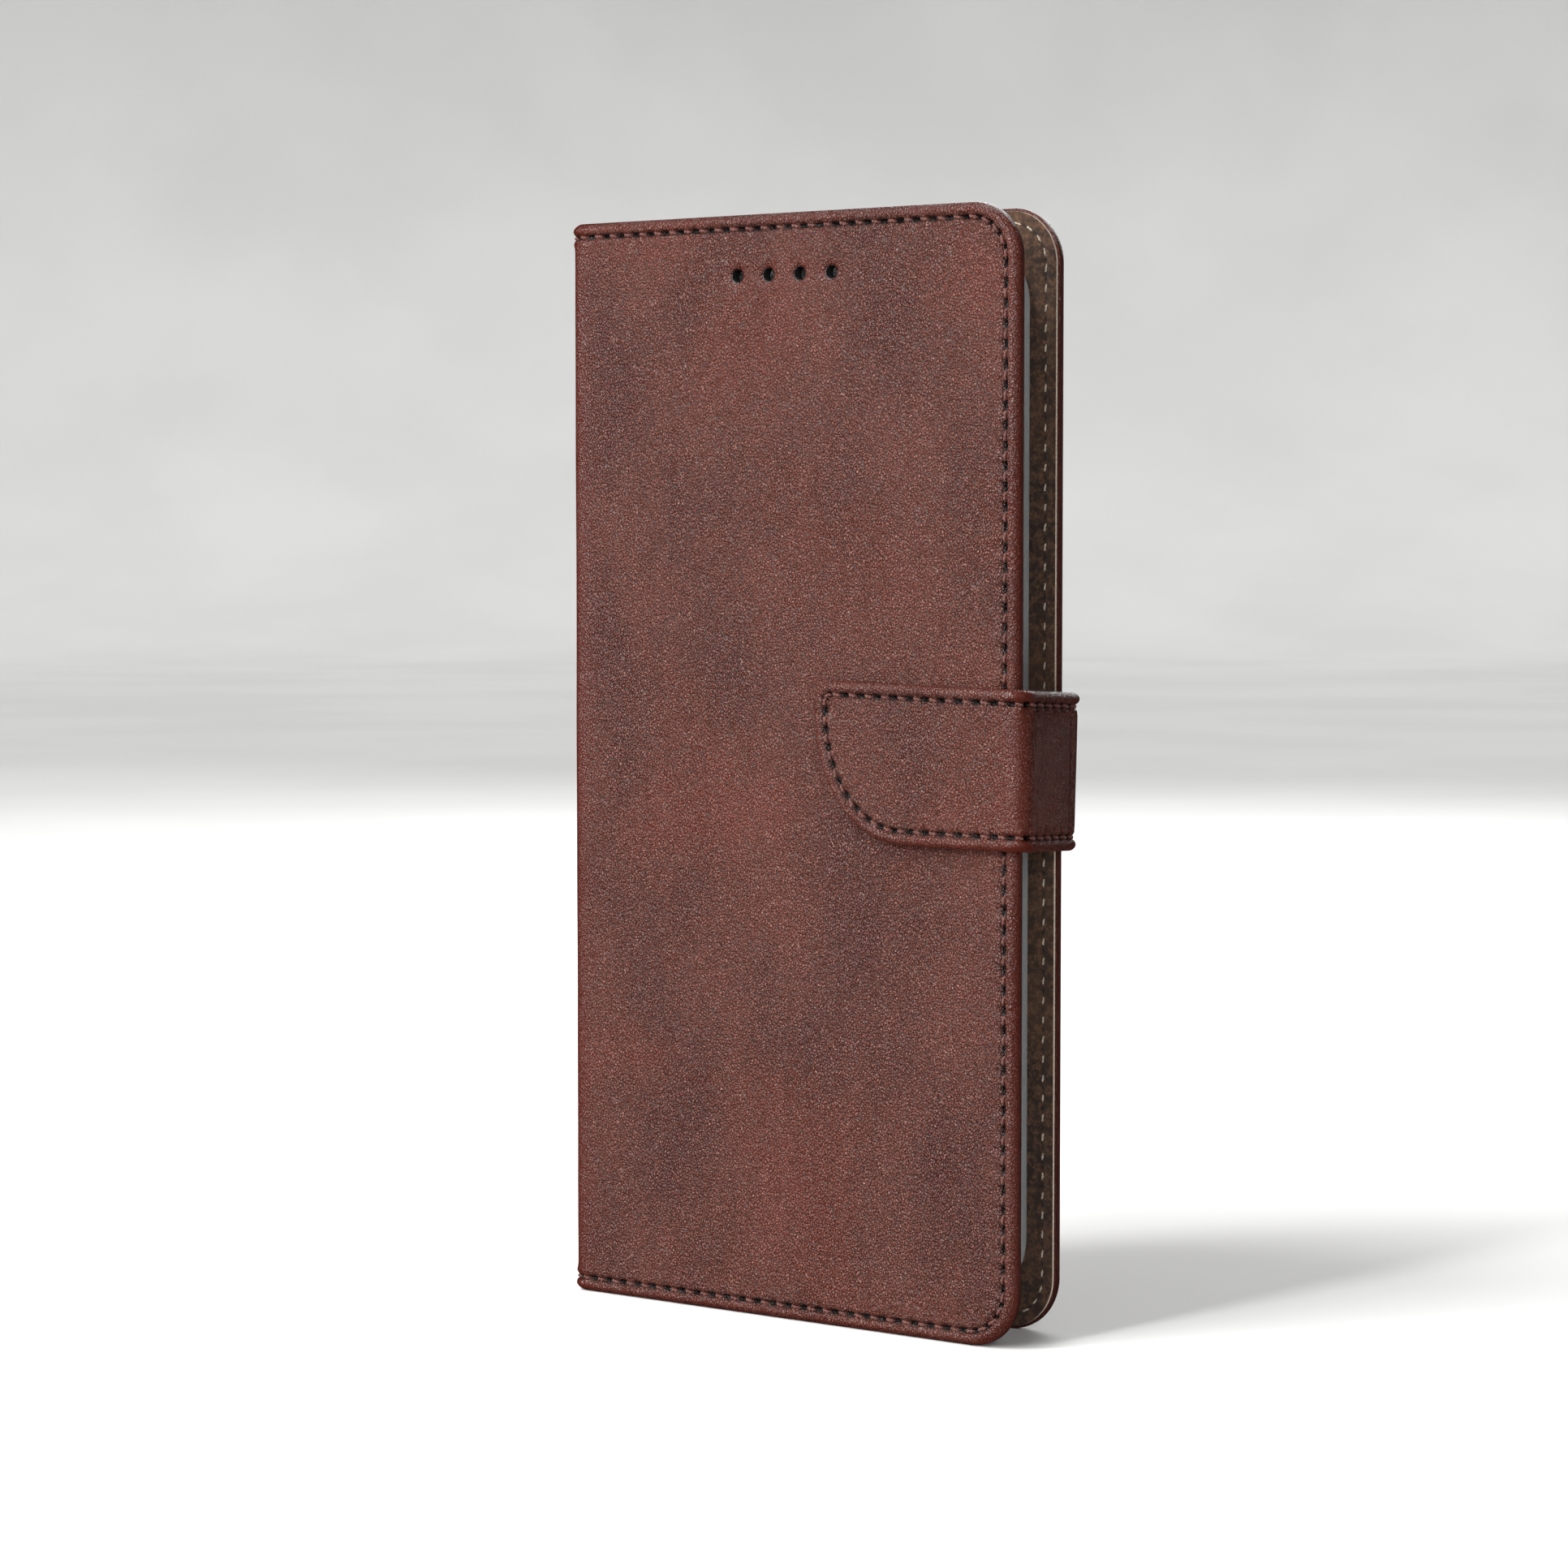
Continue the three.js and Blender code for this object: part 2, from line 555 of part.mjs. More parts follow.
// The side piece is drawn flat along its own length and turned to run from the front bend to the
// rear bend. u runs along the length and x' across the thickness, outer face at +HALF_STRAP.
function strapSide() {
  const along = new THREE.Vector2(ROOT_HINGE.x - TIP_HINGE.x, ROOT_HINGE.y - TIP_HINGE.y);
  const length = along.length();
  const start = HALF_STRAP + FOLD_GAP;
  const end = length - start;
  const drop = (u) => (STRAP_SIDE_DROP * u) / length;
  const band = (inset, u0, u1) => polygon([
    [u0, STRAP_FOOT + inset - drop(u0)],
    [u1, STRAP_FOOT + inset - drop(u1)],
    [u1, STRAP_TOP - inset - drop(u1)],
    [u0, STRAP_TOP - inset - drop(u0)],
  ]);
  const line = (z, u0, u1, width) => polygon([
    [u0, z - width / 2 - drop(u0)],
    [u1, z - width / 2 - drop(u1)],
    [u1, z + width / 2 - drop(u1)],
    [u0, z + width / 2 - drop(u0)],
  ]);
  const seams = { lower: STRAP_FOOT + STRAP_SEAM, upper: STRAP_TOP - STRAP_SEAM };
  const outer = HALF_STRAP;
  const grooves = Object.values(seams).map((z) =>
    plateX(line(z, start - 1, end + 1, GROOVE_W), [outer - GROOVE_D, outer + 1]));
  const leather = cut(plateX(band(0, start, end), [outer - STRAP_SKIN, outer]), ...grooves);
  const lining = plateX(band(0.3, start, end), [-outer, -outer + STRAP_LINING_T]);
  const threadX = [outer - THREAD_SINK - THREAD_T, outer - THREAD_SINK];
  const side = new THREE.Group();
  side.position.set(TIP_HINGE.x, TIP_HINGE.y, 0);
  side.rotation.z = -Math.atan2(along.x, along.y);
  side.add(node('strap_side_leather', leather, LEATHER));
  side.add(node('strap_side_lining', lining, LEATHER_DARK));
  for (const [name, z] of Object.entries(seams)) {
    const thread = plateX(line(z, start, end, THREAD_W), threadX);
    side.add(node(`strap_side_thread_${name}`, thread, THREAD));
  }
  return side;
}

// The root of the strap lies on the back cover and is sewn down round a box.
function strapRoot() {
  const [innerY, outerY] = TAB_Y;
  const endX = ROOT_HINGE.x + HALF_STRAP;
  const foot = STRAP_FOOT - STRAP_SIDE_DROP;
  const top = STRAP_TOP - STRAP_SIDE_DROP;
  const outline = (inset) => [
    [endX, foot + inset],
    [endX, top - inset],
    ...arcPoints(STRAP_ROOT_X + inset + 3, top - inset - 3, 3, 3, Math.PI / 2, Math.PI, 5),
    ...arcPoints(STRAP_ROOT_X + inset + 3, foot + inset + 3, 3, 3, Math.PI, 1.5 * Math.PI, 5),
  ];
  const seam = (x) => [
    [x, top - STRAP_SEAM],
    ...arcPoints(STRAP_ROOT_X + STRAP_SEAM + 1.2, top - STRAP_SEAM - 1.2, 1.2, 1.2, Math.PI / 2, Math.PI, 5),
    ...arcPoints(STRAP_ROOT_X + STRAP_SEAM + 1.2, foot + STRAP_SEAM + 1.2, 1.2, 1.2, Math.PI, 1.5 * Math.PI, 5),
    [x, foot + STRAP_SEAM],
  ];
  const farX = STRAP_ROOT_X - 1;
  const leather = cut(
    strapLayer(outline(0), [outerY - STRAP_SKIN, outerY], farX, ROOT_HINGE),
    plateY(strip(seam(endX + 1), GROOVE_W), [outerY - GROOVE_D, outerY + 1]),
  );
  const lining = strapLayer(outline(0.3), [innerY, innerY + STRAP_LINING_T], farX, ROOT_HINGE);
  const threadY = [outerY - THREAD_SINK - THREAD_T, outerY - THREAD_SINK];
  return [
    node('strap_root_leather', leather, LEATHER),
    node('strap_root_lining', lining, LEATHER_DARK),
    node('strap_root_thread', plateY(strip(seam(ROOT_HINGE.x), THREAD_W), threadY), THREAD),
  ];
}

// ---- Assembly ----------------------------------------------------------------------------------

const walletCase = new THREE.Group();
walletCase.position.set(-(BOX_X[0] + BOX_X[1]) / 2, -(BOX_Y[0] + BOX_Y[1]) / 2, 0);
walletCase.add(
  ...frontCover(),
  ...pockets(),
  ...spine(),
  ...backCover(),
  phoneShell(),
  ...adhesivePads(),
  ...BUTTONS.map(buttonCover),
  ...strapFlap(),
  strapSide(),
  ...strapRoot(),
);

const root = new THREE.Group();
root.add(walletCase);

export default root;
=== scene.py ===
"""A phone wallet case in stitched calf-grain leather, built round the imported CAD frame.

Shapes are worked out in case millimetres: x from the spine's outer face, y from the front cover's outer
face, z up. Every leather or lining piece is drawn flat, as (s, v, h): s along its width, v up, h off its
face. A path then bends it round its creases. A closed sheet gets rings of vertices that follow its edge,
which carry the rounded edge, the pressed groove and the pits of the needle.
"""

import json
import math

import bmesh
import bpy
import numpy as np
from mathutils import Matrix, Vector
from mathutils.geometry import delaunay_2d_cdt


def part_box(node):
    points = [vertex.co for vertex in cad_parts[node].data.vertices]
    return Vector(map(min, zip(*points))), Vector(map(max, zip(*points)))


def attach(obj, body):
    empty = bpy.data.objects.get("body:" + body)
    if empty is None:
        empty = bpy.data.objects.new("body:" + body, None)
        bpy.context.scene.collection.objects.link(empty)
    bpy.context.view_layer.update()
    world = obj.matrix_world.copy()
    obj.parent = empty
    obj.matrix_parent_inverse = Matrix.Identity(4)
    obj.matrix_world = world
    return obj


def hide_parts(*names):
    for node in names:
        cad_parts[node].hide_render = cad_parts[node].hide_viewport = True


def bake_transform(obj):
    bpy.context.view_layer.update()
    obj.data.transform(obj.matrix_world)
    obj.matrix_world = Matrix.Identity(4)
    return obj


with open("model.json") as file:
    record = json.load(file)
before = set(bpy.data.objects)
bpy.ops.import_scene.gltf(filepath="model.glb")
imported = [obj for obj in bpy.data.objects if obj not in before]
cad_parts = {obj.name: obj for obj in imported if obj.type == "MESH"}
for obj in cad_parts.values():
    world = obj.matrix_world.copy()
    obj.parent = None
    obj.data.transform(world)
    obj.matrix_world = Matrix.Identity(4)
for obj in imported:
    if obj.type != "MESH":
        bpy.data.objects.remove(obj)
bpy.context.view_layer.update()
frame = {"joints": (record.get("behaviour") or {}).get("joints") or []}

MM = 0.001
RNG = np.random.default_rng(41)

# ---- Sizes ----

ORIGIN = np.array([*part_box("front_outer_leather")[0]])


def case_box(node):
    """Corners of a CAD node in case millimetres."""
    low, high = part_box(node)
    return (np.array(low) - ORIGIN) / MM, (np.array(high) - ORIGIN) / MM


def hinge(name):
    """Place of a vertical hinge, as case x and y."""
    joint = next(j for j in frame["joints"] if j["name"] == name)
    return (np.array(joint["pos_m"]) - ORIGIN)[:2] / MM


FRONT_W, _, HEIGHT = case_box("front_outer_leather")[1]
BACK_W, DEPTH, _ = case_box("back_outer_leather")[1]
COVER_T = 2 * hinge("cover_fold")[1]
LINING_T = 0.5
RIM_T = COVER_T - LINING_T - 0.05
SKIN_T = 0.86
LINING_INSET = 0.4
CORNER_R = 8.0
FOLD_R = 2.0
MID_Y = DEPTH / 2

SEAM_INSET = 2.1
PITCH = 2.8
BOARD_EDGE = 3.15

FLAP_LOW, FLAP_HIGH = case_box("strap_flap_leather")
ROOT_LOW, ROOT_HIGH = case_box("strap_root_leather")
TIP_HINGE = hinge("strap_tip_fold")
ROOT_HINGE = hinge("strap_root_fold")
STRAP_T = 2 * (TIP_HINGE[1] - FLAP_LOW[1])
STRAP_SKIN = 1.05
STRAP_SEAM = 2.0

SHELL_LOW, SHELL_HIGH = case_box("phone_shell")

WINDOW_X = (55.0, 68.0)
WINDOW_Z = (120.0, 149.0)
WINDOW_R = 4.5

HOLE_MIDDLE = (39.5, 151.2)
HOLE_PITCH = 5.6
HOLE_COUNT = 4
HOLE_R = 1.05
HOLE_SHRINK = 0.08
HOLE_COLLAR = 0.2
FUNNEL_DEPTH = 0.55
FUNNEL_REACH = 0.5


def to_row(points):
    """Case millimetres to row-frame metres."""
    return np.asarray(points, float) * MM + ORIGIN


# ---- Paths that bend a flat piece ----


class Path:
    """A line in the x-y plane with rounded corners, and its normal on the left of travel."""

    def __init__(self, corners, radii, steps=20):
        corners = [np.array(c, float) for c in corners]
        points, angles = [], []
        for i, corner in enumerate(corners):
            before = corners[i] - corners[i - 1] if i else None
            after = corners[i + 1] - corners[i] if i + 1 < len(corners) else None
            if before is None or after is None:
                way = after if before is None else before
                points.append(corner)
                angles.append(math.atan2(way[1], way[0]))
                continue
            a0 = math.atan2(before[1], before[0])
            turn = (math.atan2(after[1], after[0]) - a0 + math.pi) % (2 * math.pi) - math.pi
            radius = radii[i - 1]
            start = corner - before / np.linalg.norm(before) * radius * math.tan(abs(turn) / 2)
            side = math.copysign(1, turn)
            centre = start + radius * side * np.array([-math.sin(a0), math.cos(a0)])
            for k in range(steps + 1):
                angle = a0 + turn * k / steps
                points.append(centre + radius * side * np.array([math.sin(angle), -math.cos(angle)]))
                angles.append(angle)
        self.points = np.array(points)
        self.angles = np.array(angles)
        gaps = np.linalg.norm(np.diff(self.points, axis=0), axis=1)
        self.at = np.concatenate([[0], np.cumsum(gaps)])
        self.length = self.at[-1]

    def place(self, s, v, h):
        """Row-frame points of flat coordinates."""
        s, v, h = np.broadcast_arrays(np.asarray(s, float), v, h)
        inside = np.clip(s, 0, self.length)
        angle = np.interp(inside, self.at, self.angles)
        over = s - inside
        x = np.interp(inside, self.at, self.points[:, 0]) + over * np.cos(angle) - h * np.sin(angle)
        y = np.interp(inside, self.at, self.points[:, 1]) + over * np.sin(angle) + h * np.cos(angle)
        return to_row(np.stack([x, y, v], -1))


def flipped(path):
    """The same path with its normal on the other side."""
    return lambda s, v, h: path.place(s, v, -np.asarray(h, float))


# ---- Edge lines of a flat piece ----


class Edge:
    """A line round a flat piece, clockwise, with normals into the piece. A hole runs the other way."""

    def __init__(self, points, closed, step=0.36):
        points = np.array(points, float)
        if closed:
            points = np.vstack([points, points[:1]])
        gaps = np.linalg.norm(np.diff(points, axis=0), axis=1)
        keep = np.concatenate([[True], gaps > 1e-9])
        points = points[keep]
        at = np.concatenate([[0], np.cumsum(gaps[gaps > 1e-9])])
        count = max(int(round(at[-1] / step)), 8)
        self.t = np.linspace(0, at[-1], count + 1)
        self.points = np.stack([np.interp(self.t, at, points[:, k]) for k in (0, 1)], -1)
        self.length = at[-1]
        self.closed = closed
        if closed:
            way = np.roll(self.points[:-1], -1, 0) - np.roll(self.points[:-1], 1, 0)
            self.t = self.t[:-1]
            self.points = self.points[:-1]
        else:
            way = np.gradient(self.points, axis=0)
        way /= np.linalg.norm(way, axis=1)[:, None]
        self.normals = np.stack([way[:, 1], -way[:, 0]], -1)

    def inset(self, distance):
        return self.points + self.normals * distance


def arc(cu, cv, ru, rv, from_deg, to_deg, steps=40):
    angles = np.radians(np.linspace(from_deg, to_deg, steps + 1))
    return np.stack([cu + ru * np.cos(angles), cv + rv * np.sin(angles)], -1)


def cover_edge(width, height, corner_r, low=0.0):
    """Open edge of a cover half: along the top from the spine, round the opening edge, and back."""
    return Edge([
        (0, height),
        *arc(width - corner_r, height - corner_r, corner_r, corner_r, 90, 0),
        *arc(width - corner_r, low + corner_r, corner_r, corner_r, 0, -90),
        (0, low),
    ], closed=False)


def rect_points(u, v, radius, hole=False):
    """Rounded rectangle, clockwise, or the other way for a hole."""
    corners = [(u[1], v[1], 90, 0), (u[1], v[0], 0, -90), (u[0], v[0], -90, -180), (u[0], v[1], 180, 90)]
    points = []
    for cu, cv, a, b in corners:
        cu -= math.copysign(radius, cu - sum(u) / 2)
        cv -= math.copysign(radius, cv - sum(v) / 2)
        points.extend(arc(cu, cv, radius, radius, a, b, 24))
    return points[::-1] if hole else points


# ---- Meshes ----

NOT_NEAR = 99.0
GRID_GAP = 0.55
HOLE_GAP = 0.4


def make_object(name, points, faces, attributes=(), sharp_deg=48, materials=()):
    """A mesh object in the row frame, with per-vertex numbers or vectors for its shader."""
    mesh = bpy.data.meshes.new(name)
    mesh.from_pydata(np.asarray(points).tolist(), [], faces)
    for key, values in attributes:
        values = np.asarray(values, np.float32)
        kind, field = ("FLOAT_VECTOR", "vector") if values.ndim == 2 else ("FLOAT", "value")
        mesh.attributes.new(key, kind, "POINT").data.foreach_set(field, values.ravel())
    for material in materials:
        mesh.materials.append(material)
    mesh.validate()
    mesh.update()
    mesh.shade_smooth()
    mesh.set_sharp_from_angle(angle=math.radians(sharp_deg))
    obj = bpy.data.objects.new(name, mesh)
    bpy.context.scene.collection.objects.link(obj)
    return obj


def inside(points, loop):
    """Which points lie inside a closed loop, by crossings."""
    x, y = points[:, 0][:, None], points[:, 1][:, None]
    x0, y0 = loop[:, 0], loop[:, 1]
    x1, y1 = np.roll(x0, -1), np.roll(y0, -1)
    spans = (y0 > y) != (y1 > y)
    rise = np.where(y1 == y0, 1e-12, y1 - y0)
    return (spans & (x < (x1 - x0) * (y - y0) / rise + x0)).sum(1) % 2 == 1


def near(points, loop, reach):
    """Which points lie within reach of a loop's vertices."""
    result = np.zeros(len(points), bool)
    for start in range(0, len(points), 2000):
        gap = np.linalg.norm(points[start:start + 2000, None] - loop[None], axis=2).min(1)
        result[start:start + 2000] = gap < reach
    return result


class Flat:
    """The flat triangulation of a piece: rings along its edge and its holes, and a grid inside."""

    def __init__(self, edge, insets, grid_s, grid_v, holes=(), hole_insets=()):
        self.uv, self.d, self.t, self.kind = [], [], [], []
        self.faces = []
        self.count = 0
        inner = self._rings(edge, insets, 0)
        hole_loops = [self._rings(hole, hole_insets, i + 1) for i, hole in enumerate(holes)]
        loop = inner
        if not edge.closed:
            ends = np.array(self.uv)[[inner[-1], inner[0]]]
            low, high = sorted(ends[:, 1])
            seam_v = [v for v in grid_v if low + 0.3 < v < high - 0.3]
            if ends[0, 1] > ends[1, 1]:
                seam_v = seam_v[::-1]
            loop = inner + self._add([(ends[0, 0], v) for v in seam_v], NOT_NEAR, 0.0, -1)
        self._fill(loop, hole_loops, grid_s, grid_v)
        self.uv = np.array(self.uv)
        self.d, self.t, self.kind = np.array(self.d), np.array(self.t), np.array(self.kind)

    def _add(self, points, d, t, kind):
        first = self.count
        points = np.asarray(points, float).reshape(-1, 2)
        n = len(points)
        self.uv.extend(points)
        self.d.extend(np.broadcast_to(d, n))
        self.t.extend(np.broadcast_to(t, n))
        self.kind.extend([kind] * n)
        self.count += n
        return list(range(first, first + n))

    def _rings(self, edge, insets, kind):
        rings = [self._add(edge.inset(d), d, edge.t, kind) for d in insets]
        for a, b in zip(rings, rings[1:]):
            last = len(a) if edge.closed else len(a) - 1
            for i in range(last):
                j = (i + 1) % len(a)
                self.faces.append((a[i], a[j], b[j], b[i]))
        return rings[-1]

    def _fill(self, loop, hole_loops, grid_s, grid_v):
        uv = np.array(self.uv)
        border = uv[loop]
        grid = np.array([(s, v) for s in grid_s for v in grid_v])
        keep = inside(grid, border) & ~near(grid, border, GRID_GAP)
        for hole in hole_loops:
            keep &= ~inside(grid, uv[hole]) & ~near(grid, uv[hole], HOLE_GAP)
        extra = self._add(grid[keep], NOT_NEAR, 0.0, -1)
        used = loop + [i for hole in hole_loops for i in hole] + extra
        uv = np.array(self.uv)
        local = {index: k for k, index in enumerate(used)}
        edges = []
        for ring in [loop, *hole_loops]:
            edges += [(local[a], local[b]) for a, b in zip(ring, ring[1:] + ring[:1])]
        points = [Vector(uv[i]) for i in used]
        _, _, faces, origins, _, _ = delaunay_2d_cdt(points, edges, [], 0, 1e-7)
        faces = [[used[origins[k][0]] for k in face] for face in faces]
        middles = np.array([uv[f].mean(0) for f in faces])
        keep = inside(middles, border)
        for hole in hole_loops:
            keep &= ~inside(middles, uv[hole])
        self.faces += [tuple(f) for f, k in zip(faces, keep) if k]


def open_edges(faces):
    """Edges that only one face uses, in the order of the faces."""
    edges = dict.fromkeys((a, b) for face in faces for a, b in zip(face, face[1:] + face[:1]))
    return [(a, b) for a, b in edges if (b, a) not in edges]


def solid(name, flat, outer_h, inner_h, place, materials, attributes=(), side_slot=0, grain=1):
    """A closed piece between two heights over a flat triangulation. Grain -1 lays its grain leftwards."""
    n = len(flat.uv)
    s, v = flat.uv.T
    faces = list(flat.faces) + [tuple(i + n for i in face[::-1]) for face in flat.faces]
    faces += [(b, a, a + n, b + n) for a, b in open_edges(flat.faces)]
    points = np.vstack([place(s, v, outer_h), place(s, v, inner_h)])
    if signed_volume(points, faces) < 0:
        faces = [face[::-1] for face in faces]
    rest = np.vstack([np.stack([grain * s, v, h], -1) for h in (outer_h, inner_h)])
    doubled = [("flat", rest)] + [(key, np.concatenate([value, value])) for key, value in attributes]
    obj = make_object(name, points, faces, doubled, materials=materials)
    if side_slot:
        for polygon in obj.data.polygons[2 * len(flat.faces):]:
            polygon.material_index = side_slot
    return obj


def signed_volume(points, faces):
    corners = [(f[0], b, c) for f in faces for b, c in zip(f[1:], f[2:])]
    a, b, c = (points[[corner[k] for corner in corners]] for k in range(3))
    return np.einsum("ij,ij->i", a, np.cross(b, c)).sum()


# ---- Shader helpers ----


class Tree:
    """Short forms for building a node tree."""

    def __init__(self, tree):
        self.tree = tree

    def plug(self, value, socket):
        if isinstance(value, bpy.types.NodeSocket):
            self.tree.links.new(value, socket)
        else:
            socket.default_value = value

    def add(self, kind, sockets=None, **settings):
        """A new node with its settings, and with a value or another node's output in its sockets."""
        node = self.tree.nodes.new(kind)
        for key, value in settings.items():
            setattr(node, key, value)
        for key, value in (sockets or {}).items():
            self.plug(value, node.inputs[key])
        return node

    def attribute(self, name, field="Fac"):
        return self.add("ShaderNodeAttribute", attribute_name=name).outputs[field]

    def object_place(self):
        return self.add("ShaderNodeTexCoord").outputs["Object"]

    def millimetres(self):
        return self.mapped(self.object_place(), (1000, 1000, 1000))

    def math(self, operation, a, b):
        return self.add("ShaderNodeMath", {0: a, 1: b}, operation=operation).outputs[0]

    def vector(self, operation, a, b):
        return self.add("ShaderNodeVectorMath", {0: a, 1: b}, operation=operation).outputs[0]

    def mapped(self, vector, scale, turn_deg=0):
        turn = (0, 0, math.radians(turn_deg))
        return self.add("ShaderNodeMapping", {"Vector": vector, "Scale": scale, "Rotation": turn}).outputs[0]

    def noise(self, vector, scale, detail, rough=0.5, field="Fac"):
        sockets = {"Vector": vector, "Scale": scale, "Detail": detail, "Roughness": rough}
        return self.add("ShaderNodeTexNoise", sockets).outputs[field]

    def drift(self, vector, scale, detail):
        """A slow random vector about zero, up to a half each way."""
        return self.vector("SUBTRACT", self.noise(vector, scale, detail, field="Color"), (0.5, 0.5, 0.5))

    def voronoi(self, vector, scale, feature="F1", **more):
        sockets = {"Vector": vector, "Scale": scale, **more}
        return self.add("ShaderNodeTexVoronoi", sockets, feature=feature).outputs["Distance"]

    def span(self, value, low, high, to_low=0.0, to_high=1.0):
        """A smooth step of a value from low to high."""
        sockets = {"Value": value, "From Min": low, "From Max": high, "To Min": to_low, "To Max": to_high}
        return self.add("ShaderNodeMapRange", sockets, interpolation_type="SMOOTHSTEP").outputs["Result"]

    def mix(self, factor, a, b):
        return self.add("ShaderNodeMix", {0: factor, 6: a, 7: b}, data_type="RGBA").outputs[2]

    def tint(self, base, value, low, high, share, color):
        """Lay a share of a colour over a base where a value goes from low to high."""
        return self.mix(self.math("MULTIPLY", self.span(value, low, high), share), base, color)

    def bump(self, height, distance, strength=1.0):
        sockets = {"Strength": strength, "Distance": distance, "Height": height}
        return self.add("ShaderNodeBump", sockets).outputs["Normal"]


class Nodes(Tree):
    """The node tree of a new material."""

    def __init__(self, name):
        self.material = bpy.data.materials.new(name)
        self.material.use_nodes = True
        super().__init__(self.material.node_tree)

    # Painted shade: needle pits and the walls of holes are darkened towards near black.
    def with_pit_shade(self, color, dark=(12, 6, 5)):
        return self.mix(self.attribute("pit_shade"), color, srgb(*dark))

    def finish(self, values):
        """Plug values into the surface shader, and return the material."""
        shader = self.tree.nodes["Principled BSDF"]
        for key, value in values.items():
            self.plug(value, shader.inputs[key])
        return self.material


def srgb(r, g, b):
    """0-255 display colour to a linear RGBA."""
    def linear(c):
        c /= 255
        return c / 12.92 if c <= 0.04045 else ((c + 0.055) / 1.055) ** 2.4
    return (linear(r), linear(g), linear(b), 1.0)


# ---- Materials ----

PEBBLES = 2.7
# Near-black of the painted shade in the lining's pits and holes.
LINING_PIT_SHADE = (10, 7, 6)


def leather_material(name, relief):
    """Calf-grain leather: cloudy dye, fine pebbles with drawn creases, burnished edges. Painted into its
    colour are shade in the creases, the needle pits, the spine fold and the strap bends, light on the pebble
    tops over their rubbed pigment, and small glints.
    """
    n = Nodes(name)
    flat = n.attribute("flat", "Vector")
    drawn = n.mapped(n.vector("ADD", flat, n.drift(flat, 0.35, 2)), (1.06, 0.94, 1.0), 32)
    pebble = n.voronoi(drawn, PEBBLES, "SMOOTH_F1", Smoothness=0.2)
    crease = n.span(n.voronoi(drawn, PEBBLES, "DISTANCE_TO_EDGE"), 0.0, 0.22)
    fine = n.noise(drawn, 5.5, 2, 0.6)
    painted_glint = n.noise(drawn, 4.4, 1)
    height = n.math("SUBTRACT", n.math("MULTIPLY", fine, 0.7), pebble)
    height = n.math("ADD", height, n.math("MULTIPLY", crease, 0.45))
    warp = n.vector("ADD", flat, n.vector("MULTIPLY", n.drift(flat, 0.04, 1), (10, 10, 10)))
    clouds = n.noise(n.mapped(warp, (1.0, 0.55, 1.0), 24), 0.06, 3)
    patches = n.noise(n.mapped(warp, (0.8, 1.0, 1.0), -35), 0.033, 3)
    smudge = n.noise(n.mapped(warp, (2.2, 0.6, 1.0), 52), 0.11, 2)
    speckle = n.noise(flat, 1.6, 3, 0.7)
    color = n.mix(n.span(clouds, 0.32, 0.68), srgb(70, 36, 29), srgb(90, 47, 38))
    color = n.tint(color, patches, 0.46, 0.68, 0.42, srgb(106, 47, 32))
    color = n.tint(color, smudge, 0.48, 0.72, 0.22, srgb(63, 31, 25))
    color = n.tint(color, speckle, 0.42, 0.7, 0.3, srgb(58, 28, 22))
    # Painted shade: the creases between the pebbles are darkened.
    color = n.tint(color, crease, 0.95, 0.1, 0.66, srgb(32, 13, 10))
    # Lighter pebble tops: partly rubbed pigment, partly painted light on the tops of the grain.
    color = n.tint(color, pebble, 0.4, 0.12, 0.5, srgb(134, 76, 62))
    # Painted highlight: small pale glints laid into the colour.
    color = n.tint(color, painted_glint, 0.6, 0.74, 0.32, srgb(206, 156, 142))
    # The edge attribute darkens towards a burnished red: real burnish along borders and round holes, painted
    # shade in the spine fold and at the strap bends.
    edge = n.attribute("edge")
    color = n.mix(n.math("MULTIPLY", edge, 0.9), color, srgb(68, 25, 18))
    matte = n.span(clouds, 0.3, 0.75, 0.26, 0.34)
    soften = n.math("SUBTRACT", 1.0, n.math("MULTIPLY", edge, 0.75))
    return n.finish({
        "Base Color": n.with_pit_shade(color),
        "Roughness": n.math("SUBTRACT", matte, n.math("MULTIPLY", edge, 0.14)),
        "Specular IOR Level": 0.42,
        "Normal": n.bump(n.math("MULTIPLY", height, soften), relief * MM),
    })


def edge_paint_and_shade_material():
    """Burnished edge paint over the cut layers: dark, smooth, with faint lines along the layers. Its colour
    is darker still as painted shade on the cut sides.
    """
    n = Nodes("edge_paint_and_shade")
    flat = n.attribute("flat", "Vector")
    streak = n.noise(n.mapped(flat, (0.5, 0.5, 9.0)), 1.0, 3, 0.6)
    blotch = n.noise(flat, 0.5, 3, 0.6)
    # Dark edge paint, darkened further as painted shade on the sides.
    color = n.mix(n.span(streak, 0.35, 0.7), srgb(44, 18, 15), srgb(68, 30, 25))
    color = n.tint(color, blotch, 0.4, 0.7, 0.4, srgb(84, 38, 30))
    shine = n.span(blotch, 0.3, 0.7, 0.35, 0.5)
    return n.finish({
        "Base Color": n.with_pit_shade(color),
        "Roughness": n.math("ADD", shine, n.math("MULTIPLY", n.attribute("pit_shade"), 0.5)),
        "Normal": n.bump(streak, 0.05 * MM, 0.6),
    })


